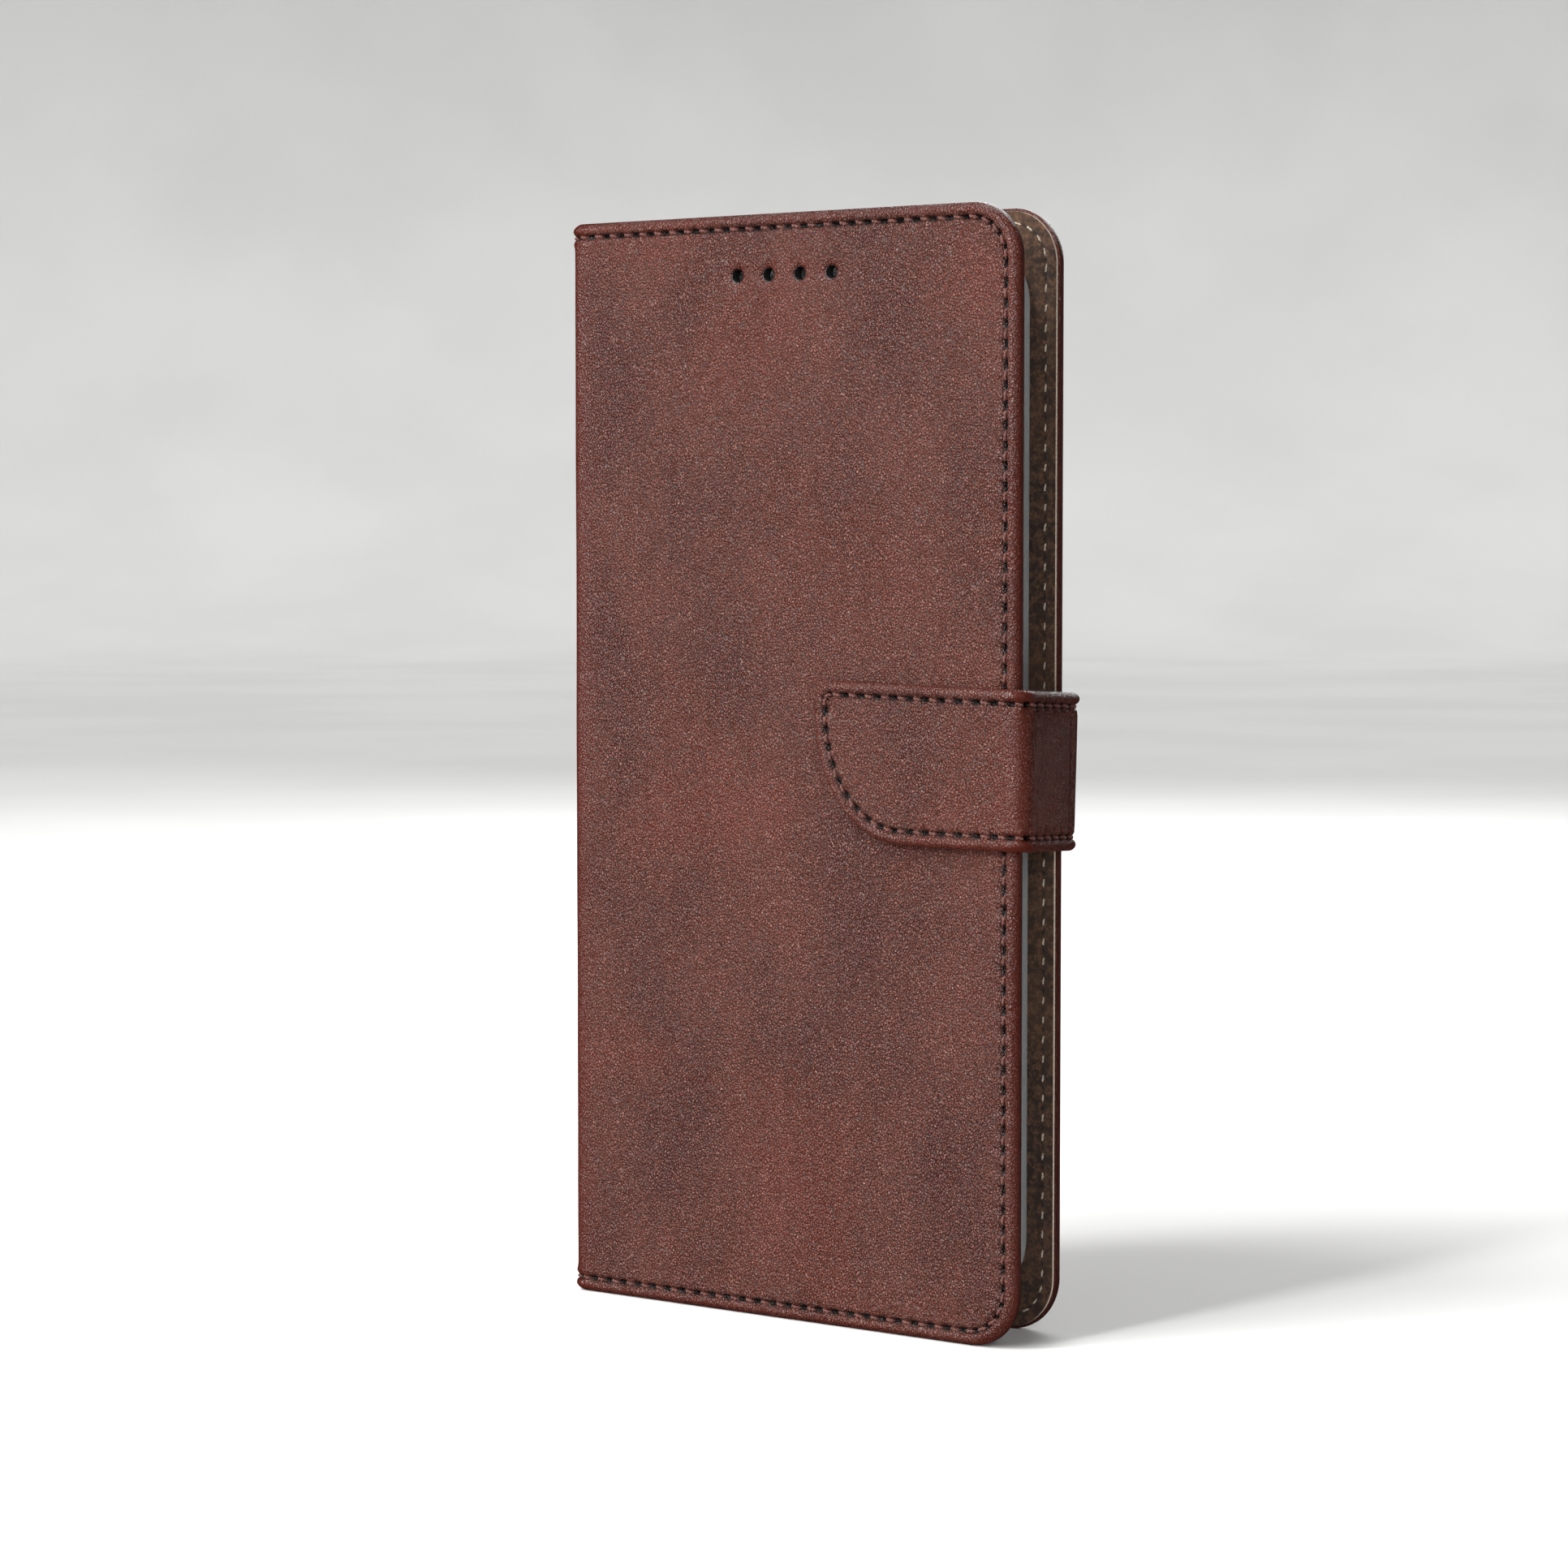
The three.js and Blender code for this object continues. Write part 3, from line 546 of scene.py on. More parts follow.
def suede_material(name, dark, light):
    """Brushed microsuede: short mottled nap that catches light at its tips."""
    n = Nodes(name)
    flat = n.attribute("flat", "Vector")
    nap = n.noise(n.mapped(flat, (1.0, 0.8, 1.0), 20), 2.6, 5, 0.75)
    mottle = n.noise(flat, 0.7, 4, 0.7)
    brush = n.noise(flat, 0.06, 2)
    color = n.mix(n.span(mottle, 0.41, 0.6), dark, light)
    color = n.tint(color, nap, 0.38, 0.6, 0.8, dark)
    color = n.tint(color, brush, 0.4, 0.65, 0.25, light)
    return n.finish({
        "Base Color": n.with_pit_shade(color, LINING_PIT_SHADE),
        "Roughness": n.span(nap, 0.3, 0.7, 0.98, 0.86),
        "Sheen Weight": 0.25,
        "Sheen Roughness": 0.5,
        "Specular IOR Level": 0.2,
        "Normal": n.bump(nap, 0.16 * MM),
    })


def raw_edge_material():
    """Cut edge of the lining, where its pale backing fibres show."""
    n = Nodes("lining_cut_edge")
    fibre = n.noise(n.mapped(n.attribute("flat", "Vector"), (1.0, 1.0, 4.0)), 3.0, 4, 0.7)
    color = n.mix(n.span(fibre, 0.35, 0.7), srgb(150, 132, 114), srgb(236, 226, 212))
    return n.finish({
        "Base Color": n.with_pit_shade(color, LINING_PIT_SHADE),
        "Roughness": 0.9,
        "Normal": n.bump(fibre, 0.08 * MM),
    })


def thread_material(name, dark, light, rough):
    """Waxed thread: fibres run along each strand."""
    n = Nodes(name)
    along = n.attribute("along", "Vector")
    fibre = n.noise(n.mapped(along, (1.5, 7.0, 1.0)), 1.2, 4, 0.7)
    blotch = n.noise(along, 0.35, 2)
    color = n.mix(n.span(fibre, 0.35, 0.68), dark, light)
    return n.finish({
        "Base Color": n.tint(color, blotch, 0.45, 0.7, 0.5, light),
        "Roughness": rough,
        "Sheen Weight": 0.15,
        "Normal": n.bump(fibre, 0.05 * MM),
    })


def shell_material():
    """Clear soft plastic, a little milky, with moulding ripple and fine scuffs."""
    n = Nodes("clear_soft_plastic")
    place = n.millimetres()
    ripple = n.noise(place, 0.08, 2)
    scuff = n.noise(n.mapped(place, (1, 1, 0.4), 15), 0.5, 4, 0.6)
    return n.finish({
        "Base Color": n.mix(n.span(ripple, 0.35, 0.65), srgb(224, 227, 229), srgb(232, 234, 235)),
        "Roughness": n.span(scuff, 0.35, 0.75, 0.12, 0.22),
        "Transmission Weight": 0.74,
        "IOR": 1.48,
        "Coat Weight": 0.3,
        "Coat Roughness": 0.12,
        "Normal": n.bump(ripple, 0.12 * MM),
    })


def board_material():
    """Grey-brown stiffener board with pressed fibres."""
    n = Nodes("stiffener_board")
    fibre = n.noise(n.mapped(n.millimetres(), (1, 1, 0.35), 12), 1.5, 5, 0.7)
    return n.finish({
        "Base Color": n.mix(n.span(fibre, 0.35, 0.7), srgb(118, 108, 94), srgb(164, 154, 138)),
        "Roughness": 0.92,
        "Normal": n.bump(fibre, 0.06 * MM),
    })


def steel_material():
    """Nickel-plated steel with fine rolling lines."""
    n = Nodes("nickel_plated_steel")
    lines = n.noise(n.mapped(n.millimetres(), (0.3, 1, 12)), 1.0, 4, 0.6)
    return n.finish({
        "Base Color": n.mix(n.span(lines, 0.3, 0.7), srgb(160, 160, 162), srgb(198, 199, 200)),
        "Metallic": 1.0,
        "Roughness": n.span(lines, 0.3, 0.7, 0.26, 0.42),
        "Normal": n.bump(lines, 0.01 * MM),
    })


def foam_material():
    """Foam adhesive tape: fine closed cells."""
    n = Nodes("foam_adhesive")
    cells = n.voronoi(n.millimetres(), 2.4)
    return n.finish({
        "Base Color": n.mix(n.span(cells, 0.1, 0.6), srgb(226, 222, 210), srgb(190, 186, 174)),
        "Roughness": 0.8,
        "Normal": n.bump(cells, 0.05 * MM),
    })


LEATHER = leather_material("calf_leather", relief=0.15)
STRAP_BACKING = leather_material("strap_backing_leather", relief=0.0525)
EDGE_PAINT_AND_SHADE = edge_paint_and_shade_material()
SUEDE = suede_material("brown_microsuede", srgb(46, 30, 21), srgb(110, 78, 55))
POCKET_SUEDE = suede_material("pocket_microsuede", srgb(54, 37, 27), srgb(114, 84, 61))
RAW_EDGE = raw_edge_material()
BROWN_THREAD = thread_material("brown_waxed_thread", srgb(46, 17, 13), srgb(124, 66, 54), 0.36)
CREAM_THREAD = thread_material("cream_thread", srgb(120, 104, 84), srgb(224, 214, 196), 0.55)
CLEAR_PLASTIC = shell_material()


# ---- Leather heights ----

COVER_INSETS = [0, 0.03, 0.1, 0.2, 0.35, 0.52, 0.72, 0.95, 1.2, 1.42, 1.6, 1.75, 1.88, 2.0, 2.1,
                2.22, 2.35, 2.5, 2.68, 2.9, 3.1, 3.25, 3.6, 4.1, 4.7]
GROOVE_DEPTH = 0.30
PUFF_HEIGHT = 0.24
PUCKER_HEIGHT = 0.17
PIT_DEPTH = 0.55
SHOULDER_HEIGHT = 0.05


def bell(x, width, power=2):
    """A smooth bump of height 1 about zero."""
    return np.exp(-(x / width) ** power)


def stitch_phase(t, length):
    """Distance along a seam from the middle of the nearest needle hole, and the stitch pitch used."""
    count = max(round(length / PITCH), 1)
    pitch = length / count
    return np.abs((t / pitch + 0.5) % 1 - 0.5) * pitch, pitch


def rounded(d, radius):
    """How far a face drops towards an edge rounded to radius."""
    gap = np.clip(radius - d, 0, radius)
    return radius - np.sqrt(np.maximum(radius ** 2 - gap ** 2, 0))


def rolling(s, v, seed, size):
    """Slow unevenness of a hand-laid skin, from a few crossed waves."""
    rng = np.random.default_rng(seed)
    waves = 7
    total = np.zeros_like(s)
    for _ in range(waves):
        wave = rng.uniform(0.6, 1.6) / size
        angle = rng.uniform(0, 2 * math.pi)
        phase = rng.uniform(0, 2 * math.pi)
        total += np.sin(2 * math.pi * wave * (s * math.cos(angle) + v * math.sin(angle)) + phase)
    return total / waves


def seam_relief(d, t, length, seam_inset):
    """Pressed groove, needle pits, puffed border and small puckers beside a row of stitches."""
    hole, pitch = stitch_phase(t, length)
    off = d - seam_inset
    pull = np.cos(2 * math.pi * hole / pitch)
    pit_shape = bell(off, 0.36) * bell(hole, 0.82, 4)
    height = PUFF_HEIGHT * bell(d - seam_inset * 0.5, seam_inset * 0.33)
    height += SHOULDER_HEIGHT * bell(off - 1.2, 0.6) - GROOVE_DEPTH * bell(off, 0.42)
    height -= pull * (PUCKER_HEIGHT * bell(off - 0.8, 0.55) + 0.04 * bell(off + 0.8, 0.4))
    height -= PIT_DEPTH * pit_shape
    ring = d < seam_inset + 3
    # The second value marks the needle pits, where shade is painted into the colour.
    return np.where(ring, height, 0), np.where(ring, np.clip(pit_shape * 1.5, 0, 1), 0)


def funnel(s, v, holes):
    """Leather drawn down into punched holes."""
    total = np.zeros_like(s)
    for cu, cv in holes:
        gap = np.clip(np.hypot(s - cu, v - cv) - HOLE_R, 0, None)
        total = np.maximum(total, FUNNEL_DEPTH * np.exp(-gap / FUNNEL_REACH))
    return total


# ---- Stitches ----


def stitches(name, edge, inset, place, material, lift=0.0, radius=0.14, share=0.5):
    """One row of twisted two-ply stitches along an edge, each diving into its needle holes."""
    line = edge.inset(inset)
    if edge.closed:
        line = np.vstack([line, line[:1]])
    gaps = np.linalg.norm(np.diff(line, axis=0), axis=1)
    at = np.concatenate([[0], np.cumsum(gaps)])
    edge_t = np.append(edge.t, edge.length) if edge.closed else edge.t
    count = max(round(edge.length / PITCH), 1)
    sides, steps = 7, 13
    x = np.linspace(-1, 1, steps)
    around = np.arange(sides) * 2 * math.pi / sides
    points, along, faces = [], [], []
    for i in range(count):
        centre = np.interp((i + 0.5) / count * edge.length, edge_t, at)
        half = share * at[-1] / count / 2 * RNG.uniform(0.94, 1.06)
        t = centre + x * half
        tilt = RNG.uniform(0.05, 0.13)
        rise = lift + RNG.uniform(-0.02, 0.03) - 0.34 * np.abs(x) ** 5 - 0.05 * x ** 2
        twist0 = RNG.uniform(0, math.pi)
        middle = np.stack([np.interp(t, at, line[:, k]) for k in (0, 1)], -1)
        way = np.stack([np.interp(t + 0.05, at, line[:, k]) - np.interp(t - 0.05, at, line[:, k])
                        for k in (0, 1)], -1)
        way /= np.linalg.norm(way, axis=1)[:, None] + 1e-12
        across = np.stack([way[:, 1], -way[:, 0]], -1)
        for ply in (0, 1):
            angle = twist0 + ply * math.pi + 3.6 * x
            side = tilt * x + radius * 0.72 * np.cos(angle)
            up = rise + radius * 0.55 * np.sin(angle)
            thick = radius * (1 - 0.25 * x ** 6)
            first = len(points)
            ring_side = side[:, None] + thick[:, None] * np.cos(around)
            ring_up = up[:, None] + thick[:, None] * np.sin(around)
            flat = middle[:, None] + across[:, None] * ring_side[..., None]
            points.extend(np.stack([flat[..., 0], flat[..., 1], ring_up], -1).reshape(-1, 3))
            along.extend(np.stack([
                np.repeat(t, sides) + 7 * ply, np.tile(around, steps), np.full(steps * sides, i * 1.7),
            ], -1))
            for a in range(steps - 1):
                for b in range(sides):
                    c = (b + 1) % sides
                    base, after = first + a * sides, first + (a + 1) * sides
                    faces.append((base + b, base + c, after + c, after + b))
            faces.append(tuple(first + b for b in range(sides))[::-1])
            faces.append(tuple(first + (steps - 1) * sides + b for b in range(sides)))
    points = np.array(points)
    placed = place(points[:, 0], points[:, 1], points[:, 2])
    if signed_volume(placed, faces[:(steps - 1) * sides + 2]) < 0:
        faces = [f[::-1] for f in faces]
    return make_object(name, placed, faces, [("along", np.array(along))], 70, [material])


# ---- Covers ----

EDGE_ROUND = 1.2
LINING_FOLD_R = 1.0
WINDOW_STEP = 0.8
FRONT_PATH = Path([(0, MID_Y), (0, 0), (FRONT_W, 0)], [FOLD_R])
BACK_PATH = Path([(0, MID_Y), (0, DEPTH), (BACK_W, DEPTH)], [FOLD_R])
FRONT_LINING_PATH = Path(
    [(COVER_T, MID_Y), (COVER_T, COVER_T), (FRONT_W - LINING_INSET, COVER_T)], [LINING_FOLD_R])
BACK_LINING_PATH = Path(
    [(COVER_T, MID_Y), (COVER_T, DEPTH - COVER_T), (BACK_W - LINING_INSET, DEPTH - COVER_T)], [LINING_FOLD_R])


def cover_grid(path, start, fold_r):
    """Grid lines of a cover half: close together round the fold, wider on the panel."""
    fold_end = path.length - (path.points[-1, 0] - start - fold_r) + 2.5
    fold = np.arange(0.4, fold_end, 0.38)
    panel = np.arange(fold_end + 0.5, path.length - 1, 1.5)
    return np.concatenate([fold, panel]), np.arange(1.5, HEIGHT, 1.6)


def panel_shift(path):
    """What to add to a case x on a cover's panel to get its flat s."""
    return path.length - path.points[-1, 0]


def earpiece_holes(path, shrink):
    """The row of holes over the phone's earpiece."""
    middle, height = HOLE_MIDDLE
    first = middle + panel_shift(path) - (HOLE_COUNT - 1) / 2 * HOLE_PITCH
    radius = HOLE_R - shrink
    return [Edge(arc(first + i * HOLE_PITCH, height, radius, radius, 0, 360, 32)[:-1], True, 0.24)
            for i in range(HOLE_COUNT)]


def camera_window(path, grow):
    shift = panel_shift(path)
    u = (WINDOW_X[0] - grow + shift, WINDOW_X[1] + grow + shift)
    v = (WINDOW_Z[0] - grow, WINDOW_Z[1] + grow)
    return [Edge(rect_points(u, v, WINDOW_R + grow, hole=True), True)]


def bend_cover(obj, panel):
    """Bake a piece's placing into its mesh. The cover's crease hinge is looked up, but nothing is bent."""
    x, y = hinge("cover_fold" if panel == "front_cover" else "spine_fold")
    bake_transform(obj)


def cover_leather(name, path, place, holes, hole_insets, window, grain):
    """Outer leather from the middle of the spine over one cover, with its rounded and stitched border."""
    edge = cover_edge(path.length, HEIGHT, CORNER_R)
    flat = Flat(edge, COVER_INSETS, *cover_grid(path, 0, FOLD_R), holes, hole_insets)
    s, v = flat.uv.T
    d = np.where(flat.kind == 0, flat.d, NOT_NEAR)
    rim = np.where(flat.kind > 0, flat.d, NOT_NEAR)
    relief, pit_shade = seam_relief(d, flat.t, edge.length, SEAM_INSET)
    top = relief - rounded(d, EDGE_ROUND) + 0.05 * rolling(grain * s, v, 3, 34) * np.clip((d - 3) / 6, 0, 1)
    if window:
        top = top - rounded(rim, 0.5)
        thick = np.minimum(d, rim) < BOARD_EDGE
    else:
        top = top - funnel(s, v, [hole.points.mean(0) for hole in holes])
        # Painted shade on the walls of the earpiece holes.
        pit_shade = np.maximum(pit_shade, np.clip(1.1 - rim / HOLE_COLLAR, 0, 1))
        thick = (d < BOARD_EDGE) | (rim < HOLE_COLLAR)
    bottom = np.minimum(np.where(thick, -RIM_T, -SKIN_T), top - 0.25)
    fold_middle = (MID_Y - FOLD_R) + math.pi * FOLD_R / 4
    # Burnish along the border and round the holes, and painted shade in the spine fold.
    burnish_and_fold_shade = np.exp(-d / 1.2) * 0.9 + 0.85 * bell(s - fold_middle, 3.0) + 0.8 * np.exp(-rim / 0.7)
    attributes = [("edge", np.clip(burnish_and_fold_shade, 0, 1)), ("pit_shade", pit_shade)]
    obj = solid(name, flat, top, bottom, place, [LEATHER, EDGE_PAINT_AND_SHADE], attributes, side_slot=1, grain=grain)
    return obj, edge


def cover_lining(name, path, place, holes, hole_insets, seed):
    """Suede lining of one cover and its half of the spine, with its pale cut edge."""
    edge = cover_edge(path.length, HEIGHT - LINING_INSET, CORNER_R - LINING_INSET, low=LINING_INSET)
    insets = [0, 0.04, 0.15, 0.4, 0.8, 1.2, 1.45, 1.6, 1.7, 1.8, 1.95, 2.2, 2.6, 3.2, 4.0]
    flat = Flat(edge, insets, *cover_grid(path, COVER_T, LINING_FOLD_R), holes, hole_insets)
    s, v = flat.uv.T
    d = np.where(flat.kind == 0, flat.d, NOT_NEAR)
    off = d - (SEAM_INSET - LINING_INSET)
    hole, _ = stitch_phase(flat.t, edge.length)
    dent = 0.13 * bell(off, 0.35) * (0.6 + 0.4 * bell(hole, 0.5))
    top = -dent - rounded(d, 0.12) + 0.03 * rolling(s, v, seed, 22) * np.clip(d - 1, 0, 1)
    bottom = np.full_like(top, -LINING_T)
    # Painted shade in the lining's needle pits, and on the walls of the front's earpiece holes.
    pit_shade = bell(off, 0.2) * bell(hole, 0.4, 4)
    if len(holes) > 1:
        pit_shade = np.maximum(pit_shade, np.where(flat.kind > 0, np.clip(1.2 - flat.d / 0.12, 0, 1), 0))
    obj = solid(name, flat, top, bottom, place, [SUEDE, RAW_EDGE], [("pit_shade", pit_shade)], side_slot=1)
    return obj, edge


def cover(side, path, lining_path, openings, growth, hole_insets, lining_insets, seed, spine_nodes):
    """Leather, lining and both rows of stitches of one cover and its half of the spine."""
    front = side == "front"
    place = flipped(path) if front else path.place
    lining_place = lining_path.place if front else flipped(lining_path)
    leather, edge = cover_leather(f"cover_leather_{side}", path, place, openings(path, growth[0]),
                                  hole_insets, window=not front, grain=1 if front else -1)
    thread = stitches(f"seam_stitches_{side}", edge, SEAM_INSET, place, BROWN_THREAD, lift=-0.10)
    lining, edge = cover_lining(f"cover_lining_{side}", lining_path, lining_place,
                                openings(lining_path, growth[1]), lining_insets, seed)
    cream = stitches(f"lining_stitches_{side}", edge, SEAM_INSET - LINING_INSET, lining_place,
                     CREAM_THREAD, lift=-0.05, radius=0.095)
    for obj, node, slot in ((leather, "outer_leather", "leather"), (thread, "seam_thread", "seam_thread"),
                            (lining, "lining", "suede_lining"), (cream, "lining_thread", "lining_thread")):
        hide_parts(f"{side}_{node}", *spine_nodes.get(node, ()))
        bend_cover(obj, f"{side}_cover")


cover("front", FRONT_PATH, FRONT_LINING_PATH, earpiece_holes, (HOLE_SHRINK, HOLE_SHRINK / 2),
      [0, 0.12, 0.28, 0.5, 0.8, 1.15, 1.5], [0, 0.1, 0.3], 11,
      {"outer_leather": ["spine_outer_leather"], "lining": ["spine_lining"],
       "seam_thread": ["spine_thread_lower", "spine_thread_upper"]})
cover("back", BACK_PATH, BACK_LINING_PATH, camera_window, (0, WINDOW_STEP),
      [0, 0.05, 0.15, 0.3, 0.5, 0.9, 1.6, 2.4, 3.05, 3.25, 4.0], [0, 0.1, 0.4, 1.0], 17, {})


# ---- Strap ----

STRAP_RUN = np.array(ROOT_HINGE) - np.array(TIP_HINGE)
STRAP_LEAN = STRAP_RUN[0] / STRAP_RUN[1]
FLAP_Y = FLAP_LOW[1]
ROOT_Y = ROOT_HIGH[1]
FRONT_BEND_R = 3.0
REAR_BEND_R = 2.2
STRAP_RISE = 0.7
STRAP_DROP = 1.0
STRAP_TOP = FLAP_HIGH[2] - STRAP_RISE
STRAP_FOOT = FLAP_LOW[2]
SWEEP_R = 15.0
TIP_R = 3.0
SEAM_AT = 0.82


def strap_side_x(y):
    """Outer face of the strap's side piece at a case y."""
    slant = math.hypot(1, STRAP_LEAN)
    return TIP_HINGE[0] + STRAP_T / 2 * slant + (y - TIP_HINGE[1]) * STRAP_LEAN


STRAP_PATH = Path([
    (FLAP_LOW[0], FLAP_Y),
    (strap_side_x(FLAP_Y), FLAP_Y),
    (strap_side_x(ROOT_Y), ROOT_Y),
    (ROOT_LOW[0], ROOT_Y),
], [FRONT_BEND_R, REAR_BEND_R])


def path_s(path, x, y):
    """Path distance of the point nearest to (x, y)."""
    return path.at[np.argmin(np.hypot(path.points[:, 0] - x, path.points[:, 1] - y))]


BEND_S = [path_s(STRAP_PATH, *TIP_HINGE), path_s(STRAP_PATH, *ROOT_HINGE)]
STRAP_SEAM_S = BEND_S[0] + SEAM_AT * (BEND_S[1] - BEND_S[0])


def strap_top(s):
    return STRAP_TOP + np.interp(s, [0, *BEND_S], [STRAP_RISE, 0, -STRAP_DROP])


def strap_foot(s):
    return STRAP_FOOT + np.interp(s, [0, *BEND_S], [0.3 * STRAP_RISE, 0, -STRAP_DROP])


def strap_front_edge(inset=0.0):
    """Foot, sweep, tip and top of the strap, from the side seam round and back to it."""
    start, top = STRAP_SEAM_S, strap_top(TIP_R) - inset
    shoulder = top - (TIP_R - inset) - 2
    foot = strap_foot(SWEEP_R) + inset
    return Edge([
        *[(s, strap_foot(s) + inset) for s in np.linspace(start, SWEEP_R + 0.5, 40)],
        *arc(SWEEP_R, shoulder, SWEEP_R - inset, shoulder - foot, 270, 180),
        *arc(TIP_R, top - TIP_R + inset, TIP_R - inset, TIP_R - inset, 180, 90),
        *[(s, strap_top(s) - inset) for s in np.linspace(TIP_R + 0.5, start, 40)],
    ], closed=False)


def strap_rear_edge(inset=0.0):
    """Top, root end and foot of the strap behind the side seam."""
    start, end = STRAP_SEAM_S, STRAP_PATH.length - inset
    top, foot = strap_top(end) - inset, strap_foot(end) + inset
    radius = TIP_R - inset
    return Edge([
        *[(s, strap_top(s) - inset) for s in np.linspace(start, end - TIP_R - 1, 30)],
        *arc(end - radius, top - radius, radius, radius, 90, 0),
        *arc(end - radius, foot + radius, radius, radius, 0, -90),
        *[(s, strap_foot(s) + inset) for s in np.linspace(end - TIP_R - 1, start, 30)],
    ], closed=False)


STRAP_INSETS = [0, 0.03, 0.1, 0.22, 0.38, 0.55, 0.72, 0.95, 1.2, 1.45, 1.6, 1.75, 1.9, 2.0, 2.1,
                2.25, 2.4, 2.55, 2.75]
TURNED_RIM = 0.6


def strap_grid():
    bends = [np.arange(b - 4.5, b + 4.5, 0.4) for b in BEND_S]
    flats = np.arange(1, STRAP_PATH.length, 1.1)
    far = np.min([np.abs(flats - b) for b in BEND_S], axis=0) > 4.6
    return np.sort(np.concatenate([*bends, flats[far]])), np.arange(60, 100, 1.05)


def strap_place(s, v, h):
    """The strap's path, with its lower rear corner drawn a little closer to the back cover."""
    low = np.clip((STRAP_TOP - v) / (STRAP_TOP - STRAP_FOOT), 0, 1)
    share = low * np.interp(s, [BEND_S[0], BEND_S[1], BEND_S[1] + 16], [0, 1, 0])
    rise = 0.5 * bell(s - 23, 5.5) - 0.12 * bell(s - 32, 2.6)
    points = STRAP_PATH.place(s, v, -(np.asarray(h, float) + rise))
    return points - share[..., None] * np.array([0.5, 0.2, 0]) * MM


def strap_part(name, edge, backing_edge, bend, skin_nodes, backing_nodes, thread_nodes):
    """One part of the strap: a skin turned in round its rim, the backing set in it, and its stitches."""
    flat = Flat(edge, STRAP_INSETS, *strap_grid())
    s, v = flat.uv.T
    d = flat.d
    relief, pit_shade = seam_relief(d, flat.t, edge.length, STRAP_SEAM)
    top = relief - rounded(d, 0.8) + 0.03 * rolling(s, v, 21, 16) * np.clip((d - 2.5) / 3, 0, 1)
    turned = d < TURNED_RIM
    bottom = np.where(turned, -STRAP_T + rounded(d, 0.45), -STRAP_SKIN)
    bottom = np.minimum(bottom, top - 0.15)
    # Burnish along the rim, and painted shade at the two bends.
    fold = sum(bell(s - b, 2.2) for b in BEND_S)
    burnish_and_fold_shade = np.clip(0.9 * np.exp(-d / 0.9) + 0.8 * fold, 0, 1)
    skin = solid(f"strap_skin_{name}", flat, top, bottom, strap_place, [LEATHER, EDGE_PAINT_AND_SHADE],
                 [("edge", burnish_and_fold_shade), ("pit_shade", pit_shade)], side_slot=1)
    inner = Flat(backing_edge, [0, 0.1, 0.3, 0.8, 1.6], *strap_grid())
    h_top = np.full(len(inner.uv), -STRAP_SKIN - 0.05)
    h_low = -STRAP_T + rounded(inner.d, 0.2)
    zero = np.zeros(len(inner.uv))
    backing = solid(f"strap_backing_{name}", inner, h_top, h_low, strap_place, [STRAP_BACKING],
                    [("edge", zero), ("pit_shade", zero)])
    thread = stitches(f"strap_stitches_{name}", edge, STRAP_SEAM, strap_place, BROWN_THREAD, lift=-0.10)
    for obj, slot, nodes in ((skin, "leather", skin_nodes), (backing, "strap_back", backing_nodes),
                             (thread, "seam_thread", thread_nodes)):
        bend(obj)
        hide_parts(*nodes)


def bend_tip(obj):
    """Bake a piece's placing into its mesh; nothing is bent round the strap's tip hinge."""
    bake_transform(obj)


def bend_root(obj):
    """Bake a piece's placing into its mesh; nothing is bent round the strap's root hinge."""
    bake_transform(obj)


rim = TURNED_RIM + 0.03
strap_part("front", strap_front_edge(), strap_front_edge(rim), bend_tip,
           ["strap_flap_leather", "strap_side_leather"], ["strap_flap_lining", "strap_side_lining"],
           ["strap_flap_thread", "strap_side_thread_lower", "strap_side_thread_upper"])
strap_part("rear", strap_rear_edge(), strap_rear_edge(rim), bend_root,
           ["strap_root_leather"], ["strap_root_lining"], ["strap_root_thread"])


# ---- Pockets ----

POCKET_T = 0.35
POCKET_GAP = 0.06
POCKET_COUNT = 3


def over_lining(level):
    """A place function for pieces that lie flat on the front cover's lining, at a case y."""
    return lambda a, b, h: to_row(np.stack(np.broadcast_arrays(a, level + np.asarray(h, float), b), -1))


def pocket_sheet(name, node, level, seed):
    """A flat pocket sheet with a doubled lip along its spine edge. Level counts sheets from the lining."""
    (u0, _, v0), (u1, _, v1) = case_box(node)
    low = COVER_T + POCKET_GAP + level * (POCKET_T + POCKET_GAP)
    lip_at = 1.9
    edge = Edge(rect_points((u0, u1), (v0, v1), 1.0), True, step=0.6)
    grid_s = u0 + np.concatenate([[1.45, 1.7, lip_at, 2.1, 2.35], np.arange(3, u1 - u0, 2.1)])
    flat = Flat(edge, [0, 0.05, 0.2, 0.5, 0.85], grid_s, np.arange(v0, v1, 2.3))
    s, w = flat.uv.T
    lip = 0.1 * bell(s - u0 - lip_at, 0.28)
    top = POCKET_T - rounded(flat.d, 0.12) - lip + 0.012 * rolling(s, w, seed, 20)
    low_face = np.minimum(0.03, top - 0.08)
    obj = solid(name, flat, top, low_face, over_lining(low), [POCKET_SUEDE, RAW_EDGE],
                [("pit_shade", np.zeros(len(flat.uv)))], side_slot=1)
    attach(obj, "front_cover")
    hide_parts(node)
    return low + POCKET_T


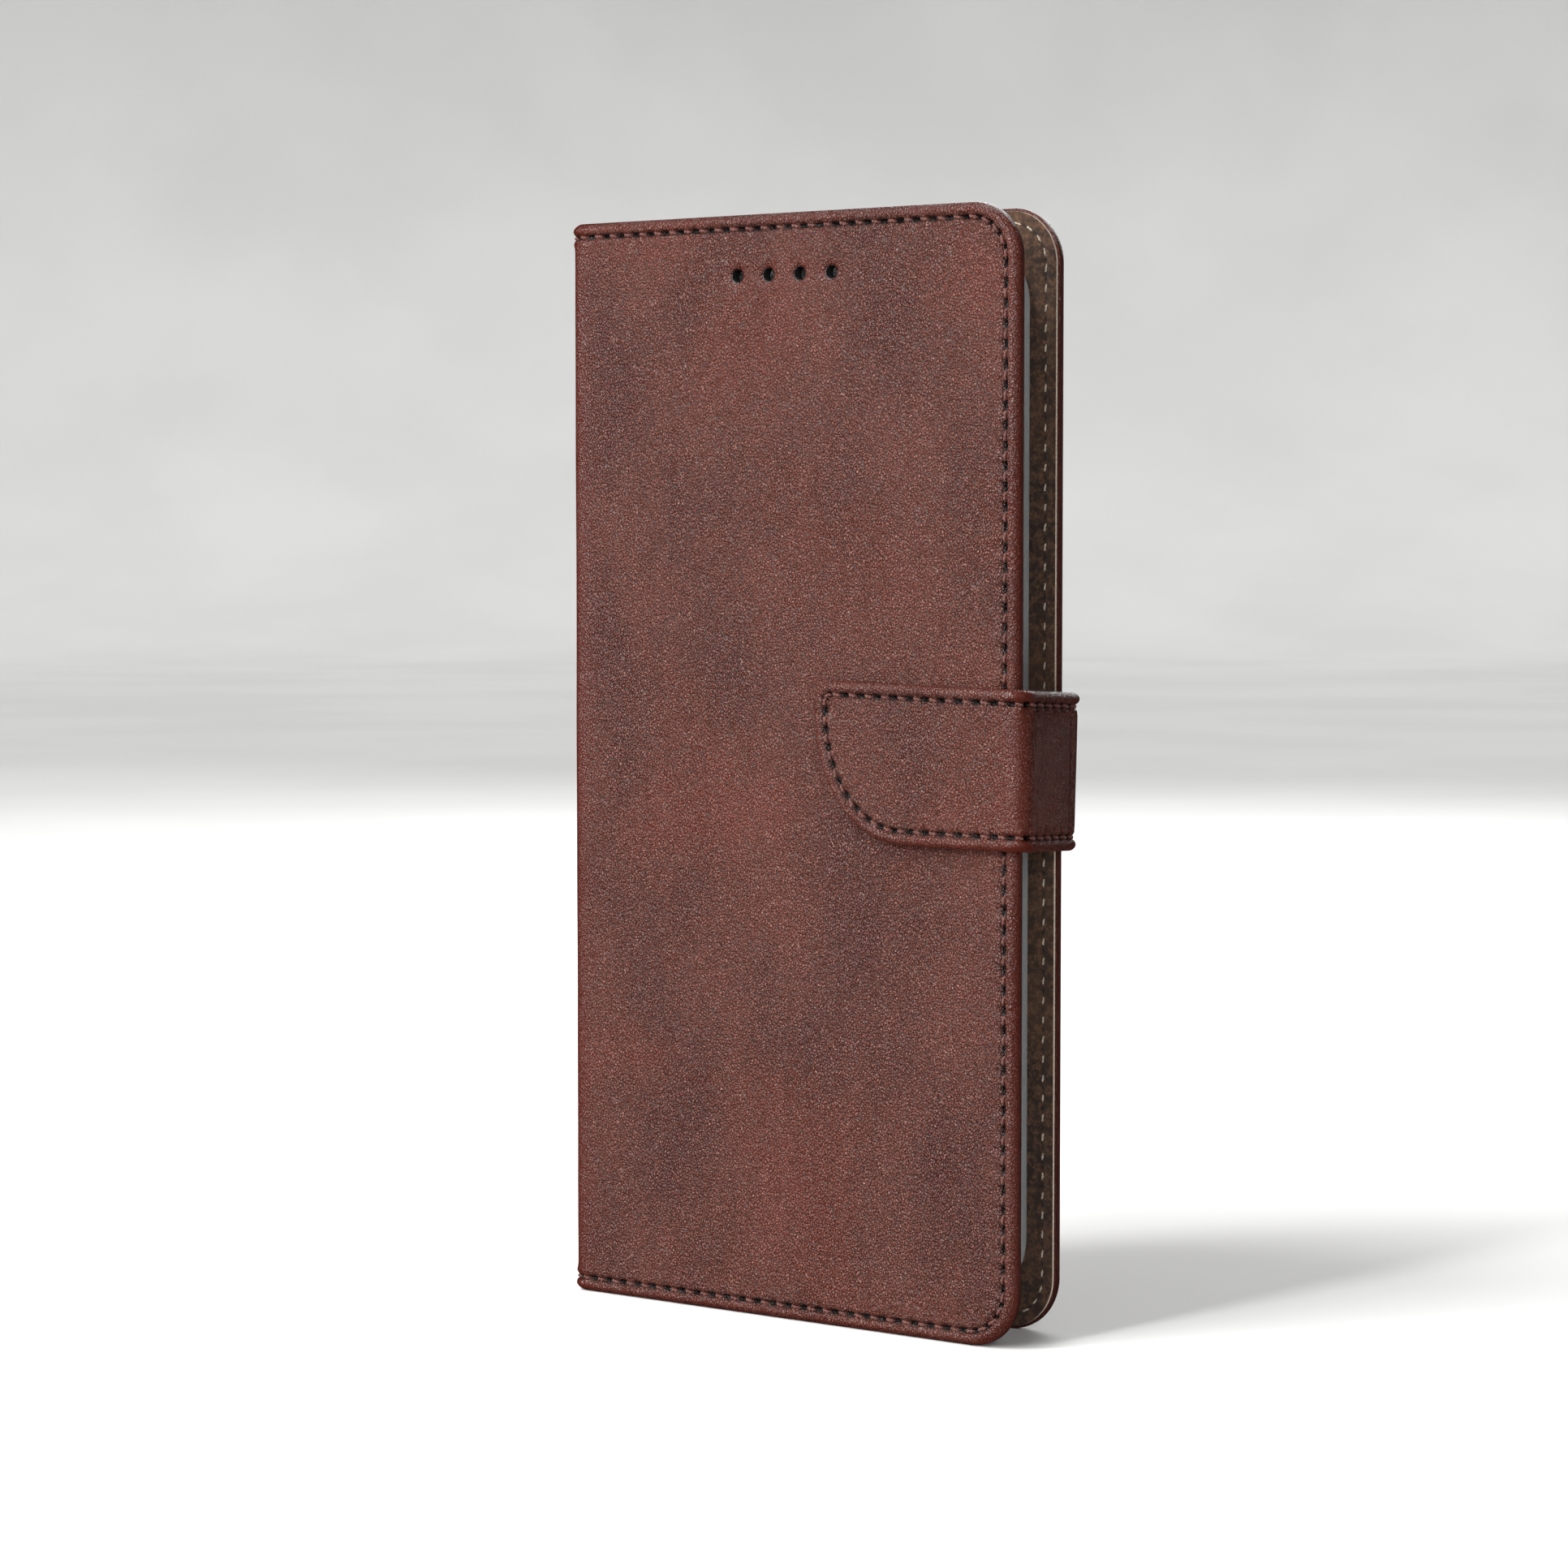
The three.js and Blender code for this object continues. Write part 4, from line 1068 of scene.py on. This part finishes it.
def pockets():
    """The cash pocket, the card pockets over it, and the seam round three sides of the cards."""
    pocket_sheet("cash_pocket_sheet", "cash_pocket_panel", 0, 31)
    for i in range(1, POCKET_COUNT + 1):
        face = pocket_sheet(f"card_pocket_sheet_{i}", f"card_pocket_{i}", i, 31 + i)
    (u0, _, v0), (u1, _, v1) = case_box("card_pocket_thread")
    line = 0.25
    u1, v0, v1 = u1 - line, v0 + line, v1 - line
    edge = Edge([(u0, v1), (u1, v1), (u1, v0), (u0, v0)], closed=False)
    thread = stitches("card_pocket_stitches", edge, 0, over_lining(face - 0.12), CREAM_THREAD,
                      lift=0.16, radius=0.12, share=0.58)
    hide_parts("card_pocket_thread")
    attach(thread, "front_cover")


pockets()


# ---- Phone shell ----

SHELL_R = 9.0
SHELL_WALL = 1.3
SHELL_FLOOR = 1.2
LIP_REACH = 0.6
LIP_T = 0.8
FLOOR_INSET = 3.2
BUTTON_CLEAR = 0.3
PORTS_Y = 8.8
CHARGE_X = (32.5, 43.5)
CHARGE_T = 5.2
EARPHONE_X = 20
EARPHONE_R = 2.6
SPEAKER_X = (50, 53, 56, 59)
SPEAKER_R = 0.75
RELIEF_Z = (102.6, 107.8)


def shell_sections():
    """The wall's outer and inner sections, as (inset from the outline, case y), between lip and floor."""
    y0, y1 = SHELL_LOW[1], SHELL_HIGH[1]
    inner_y = y1 - SHELL_FLOOR
    reach = SHELL_WALL + LIP_REACH
    outer = [(reach, y0 + 0.5), (reach - 0.05, y0 + 0.25), (reach - 0.25, y0 + 0.06), (reach - 0.5, y0)]
    outer += [(1 - math.sin(a), y0 + 1 - math.cos(a)) for a in np.radians(range(0, 91, 10))]
    outer += [(0, y0 + 2), (0, y0 + 4), (0, y0 + 6)]
    outer += [(0.4 - 0.4 * math.cos(a), y1 - 0.4 + 0.4 * math.sin(a)) for a in np.radians(range(0, 91, 15))]
    inner = [(FLOOR_INSET, inner_y), (2.4, inner_y), (SHELL_WALL + 0.5, inner_y - 0.2),
             (SHELL_WALL + 0.12, inner_y - 0.7), (SHELL_WALL, inner_y - 1.4), (SHELL_WALL, y0 + 4),
             (SHELL_WALL, y0 + LIP_T + 0.4), (SHELL_WALL + 0.15, y0 + LIP_T + 0.1),
             (reach - 0.15, y0 + LIP_T)]
    return [*outer, (FLOOR_INSET, y1)], inner


def shell_floor(border, n, first, outer_ring, inner_ring):
    """Points and faces of the floor, which shares its border with the walls, round the camera window."""
    y1 = SHELL_HIGH[1]
    u = (WINDOW_X[0] - WINDOW_STEP, WINDOW_X[1] + WINDOW_STEP)
    v = (WINDOW_Z[0] - WINDOW_STEP, WINDOW_Z[1] + WINDOW_STEP)
    window = Edge(rect_points(u, v, WINDOW_R + WINDOW_STEP, hole=True), True, 0.5)
    grid = np.arange(8, 72, 4.0), np.arange(8, 154, 4.0)
    flat = Flat(border, [0.0, 0.01], *grid, [window], [0, 0.12, 0.4, 0.9])
    rim = np.where(flat.kind > 0, flat.d, NOT_NEAR)
    heights = (y1 - rounded(rim, 0.35), y1 - SHELL_FLOOR + rounded(rim, 0.3))
    points = [np.stack([flat.uv[:, 0], height, flat.uv[:, 1]], -1) for height in heights]
    m = len(flat.uv)
    faces = []
    for face in flat.faces:
        faces += [face, tuple(m + i for i in face[::-1])]
    faces += [(a, b, m + b, m + a) for a, b in open_edges(flat.faces) if flat.kind[a] > 0]
    shared = {i: outer_ring + i for i in range(n)}
    shared.update({m + i: inner_ring + i for i in range(n)})
    return points, [tuple(shared.get(i, first + i) for i in face) for face in faces]


def phone_shell():
    """Open tray with rolled walls, a lip that hooks over the phone, and its cut-outs."""
    outer, inner = shell_sections()
    section = outer + inner
    u, v = ((SHELL_LOW[k], SHELL_HIGH[k]) for k in (0, 2))
    outline = Edge(rect_points(u, v, SHELL_R), True, step=0.7)
    n = len(outline.points)
    rings = [outline.inset(inset) for inset, _ in section]
    points = [np.stack([ring[:, 0], np.full(n, y), ring[:, 1]], -1) for ring, (_, y) in zip(rings, section)]
    floor_ring = len(outer) - 1
    faces = []
    for k in range(len(section)):
        if k != floor_ring:
            m = (k + 1) % len(section)
            faces += [(k * n + i, k * n + (i + 1) % n, m * n + (i + 1) % n, m * n + i) for i in range(n)]
    border = Edge(rings[floor_ring], True, step=0.7)
    border.points, border.t, border.normals = rings[floor_ring], np.arange(n) * 1.0, outline.normals
    floor_points, floor_faces = shell_floor(
        border, n, len(section) * n, floor_ring * n, (floor_ring + 1) * n)
    obj = make_object("phone_shell_tray", to_row(np.vstack(points + floor_points)), faces + floor_faces,
                      sharp_deg=40, materials=[CLEAR_PLASTIC])
    tidy_normals(obj)
    cut_shell(obj)
    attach(obj, "back_cover")
    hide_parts("phone_shell")


def tidy_normals(obj):
    """Join doubled points, drop loose ones, and turn every face outwards."""
    mesh = bmesh.new()
    mesh.from_mesh(obj.data)
    loose = [v for v in mesh.verts if not v.link_faces]
    bmesh.ops.delete(mesh, geom=loose, context="VERTS")
    bmesh.ops.remove_doubles(mesh, verts=mesh.verts, dist=1e-8)
    bmesh.ops.recalc_face_normals(mesh, faces=mesh.faces)
    mesh.to_mesh(obj.data)
    mesh.free()


def prism(points, axis, low, high):
    """A closed block with a case outline, run along one case axis."""
    a, b = [k for k in range(3) if k != axis]
    n = len(points)
    corners = np.zeros((2 * n, 3))
    for half, level in enumerate((low, high)):
        corners[half * n:(half + 1) * n, a] = [p[0] for p in points]
        corners[half * n:(half + 1) * n, b] = [p[1] for p in points]
        corners[half * n:(half + 1) * n, axis] = level
    faces = [tuple(range(n)), tuple(range(2 * n - 1, n - 1, -1))]
    faces += [(i, n + i, n + (i + 1) % n, (i + 1) % n) for i in range(n)]
    obj = make_object("cutter", to_row(corners), faces)
    tidy_normals(obj)
    return obj


def side_cutter(y, z, radius, depth):
    """A cutter through the shell's opening side, to a depth."""
    side = SHELL_HIGH[0]
    return prism(rect_points(y, z, radius)[::4], 0, side - depth, side + 1)


def foot_cutter(outline):
    foot = SHELL_LOW[2]
    return prism(outline, 2, foot - 1, foot + SHELL_WALL + 1)


def shell_cutters():
    """Cutters for the buttons and the relief between them, and for the ports at the foot."""
    for node in ("volume_button_cover", "power_button_cover"):
        (_, y0, z0), (_, y1, z1) = case_box(node)
        clear = BUTTON_CLEAR
        yield side_cutter((y0 - clear, y1 + clear), (z0 - clear, z1 + clear), 2.1, SHELL_WALL + 1)
    yield side_cutter((y0, y1), RELIEF_Z, 1.6, 0.6)
    charge_y = (PORTS_Y - CHARGE_T / 2, PORTS_Y + CHARGE_T / 2)
    yield foot_cutter(rect_points(CHARGE_X, charge_y, CHARGE_T / 2 - 0.01)[::3])
    yield foot_cutter(arc(EARPHONE_X, PORTS_Y, EARPHONE_R, EARPHONE_R, 0, 360, 32)[:-1])
    for x in SPEAKER_X:
        yield foot_cutter(arc(x, PORTS_Y, SPEAKER_R, SPEAKER_R, 0, 360, 16)[:-1])


def cut_shell(obj):
    cutters = list(shell_cutters())
    for cutter in cutters:
        modifier = obj.modifiers.new("cut", "BOOLEAN")
        modifier.operation, modifier.solver, modifier.object = "DIFFERENCE", "EXACT", cutter
    evaluated = obj.evaluated_get(bpy.context.evaluated_depsgraph_get())
    mesh = bpy.data.meshes.new_from_object(evaluated)
    obj.modifiers.clear()
    obj.data = mesh
    mesh.shade_smooth()
    mesh.set_sharp_from_angle(angle=math.radians(40))
    for cutter in cutters:
        bpy.data.objects.remove(cutter)


def button_cover(node, body):
    """A soft button pad with a rounded rim and a shallow dish."""
    (low_x, y0, z0), (high_x, y1, z1) = case_box(node)
    middle, half = (y0 + y1) / 2, (y1 - y0) / 2
    edge = Edge(rect_points((y0, y1), (z0, z1), half - 0.4), True, step=0.25)
    insets = [0, 0.05, 0.14, 0.28, 0.45, 0.7, 1.1]
    flat = Flat(edge, insets, np.arange(y0, y1, 0.5), np.arange(z0, z1, 0.7))
    dish = 0.12 * np.clip(1 - ((flat.uv[:, 0] - middle) / half) ** 2, 0, 1)
    top = high_x - rounded(flat.d, 0.6) - dish
    bottom = np.full_like(top, low_x)

    def place(a, b, h):
        return to_row(np.stack(np.broadcast_arrays(h, a, b), -1))

    obj = solid(f"{node}_pad", flat, top, bottom, place, [CLEAR_PLASTIC])
    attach(obj, body)
    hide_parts(node)


phone_shell()
button_cover("volume_button_cover", "volume_button")
button_cover("power_button_cover", "power_button")


# ---- Hidden parts that keep their CAD shape ----

for material, nodes in (
        (board_material(), ("front_board", "back_board", "spine_stiffener")),
        (steel_material(), ("front_keeper_plate", "strap_flap_magnet")),
        (foam_material(), ("shell_adhesive_lower", "shell_adhesive_upper"))):
    for node in nodes:
        mesh = bpy.data.objects[node].data
        mesh.materials.clear()
        mesh.materials.append(material)


# ---- Floor, light and camera ----

CAMERA_PLACE = (394.876, -473.520, 114.752)
CAMERA_TURN_DEG = 36.86
CAMERA_DROP_DEG = 3.55
CAMERA_LENS = 94.40


def floor_and_backdrop():
    """A pale sweep: a floor that curves up into a wall well behind the object."""
    n = Nodes("pale_floor")
    tone = n.noise(n.object_place(), 4.0, 3)
    material = n.finish({
        "Base Color": n.mix(n.span(tone, 0.3, 0.7), srgb(222, 222, 221), srgb(229, 229, 228)),
        "Roughness": 0.85,
    })
    depth, rise, radius, half = 3.0, 3.0, 0.9, 4.0
    line = [(-half, 0.0)]
    line += [(depth + radius * math.sin(a), radius - radius * math.cos(a))
             for a in np.radians(np.linspace(0, 90, 25))]
    line.append((depth + radius, rise))
    turn = math.radians(CAMERA_TURN_DEG)
    points = [(side * math.cos(turn) - way * math.sin(turn), side * math.sin(turn) + way * math.cos(turn), z)
              for side in (-half, half) for way, z in line]
    n = len(line)
    faces = [(i, n + i, n + i + 1, i + 1) for i in range(n - 1)]
    sweep = make_object("backdrop", points, faces, sharp_deg=80, materials=[material])
    sweep.visible_glossy = False


def dark_cards():
    """Dark cards right and left, which the camera doesn't see. The left one only shows in reflections."""
    n = Nodes("dark_card")
    weave = n.noise(n.object_place(), 60, 2)
    material = n.finish({
        "Base Color": n.mix(weave, srgb(16, 16, 16), srgb(26, 26, 26)),
        "Roughness": 0.95,
    })
    top = 0.65
    for name, x, near_y, far_y in (("right_card", 0.24, -0.16, 0.75), ("left_card", -0.34, -0.2, 0.5)):
        points = [(x, near_y, 0), (x, far_y, 0), (x, far_y, top), (x, near_y, top)]
        card = make_object(name, points, [(0, 1, 2, 3)], materials=[material])
        card.visible_camera = False
        card.visible_shadow = False
        card.visible_diffuse = x > 0


def add_light(name, kind, azimuth, elevation, energy, distance=0.0):
    """A light on the object from an azimuth (0 is the front, 90 the right) and an elevation, in degrees."""
    light = bpy.data.lights.new(name, kind)
    light.energy = energy
    obj = bpy.data.objects.new(name, light)
    a, e = math.radians(azimuth), math.radians(elevation)
    way = Vector((math.sin(a) * math.cos(e), -math.cos(a) * math.cos(e), math.sin(e)))
    obj.location = Vector((0, 0, HEIGHT / 2 * MM)) + way * distance
    obj.rotation_euler = (-way).to_track_quat("-Z", "Y").to_euler()
    bpy.context.scene.collection.objects.link(obj)
    return light


def area_light(name, azimuth, elevation, distance, size, watts):
    light = add_light(name, "AREA", azimuth, elevation, watts, distance)
    light.shape = "RECTANGLE"
    light.size, light.size_y = size


def sun_light(name, azimuth, elevation, strength, spread_deg):
    """A broad even source, so that the floor is lit alike near and far."""
    light = add_light(name, "SUN", azimuth, elevation, strength)
    light.angle = math.radians(spread_deg)


def light_world():
    """White light from above, less from below, from the right and from behind."""
    world = bpy.data.worlds.new("studio")
    world.use_nodes = True
    n = Tree(world.node_tree)
    place = n.add("ShaderNodeTexCoord").outputs["Generated"]
    split = n.add("ShaderNodeSeparateXYZ", {0: place})
    strength = 0.6
    for axis, low, high, least in (("Z", -0.15, 0.25, 0.1), ("X", 0.5, -0.2, 0.3), ("Y", 0.1, -0.8, 0.3)):
        strength = n.math("MULTIPLY", n.span(split.outputs[axis], low, high, least), strength)
    background = world.node_tree.nodes["Background"]
    background.inputs["Color"].default_value = (1, 1, 1, 1)
    n.plug(strength, background.inputs["Strength"])
    bpy.context.scene.world = world


def light_scene():
    bpy.context.scene.view_settings.view_transform = "Standard"
    light_world()
    sun_light("key", -24, 54, 2.2, 22)
    area_light("strip", -33, 24, 0.9, (0.16, 0.3), 3.5)
    area_light("rim_strip", -5, 20, 0.9, (0.1, 0.6), 6.5)
    area_light("back", 205, 38, 1.0, (0.8, 0.8), 7.0)
    area_light("fill", 56, 18, 0.9, (0.14, 0.6), 3.2)


def place_camera():
    data = bpy.data.cameras.new("camera")
    data.lens = CAMERA_LENS
    data.sensor_width = 36
    data.clip_start, data.clip_end = 0.01, 20
    camera = bpy.data.objects.new("camera", data)
    camera.location = Vector(to_row(CAMERA_PLACE))
    camera.rotation_euler = (math.radians(90 - CAMERA_DROP_DEG), 0, math.radians(CAMERA_TURN_DEG))
    bpy.context.scene.collection.objects.link(camera)
    bpy.context.scene.camera = camera


floor_and_backdrop()
dark_cards()
light_scene()
place_camera()
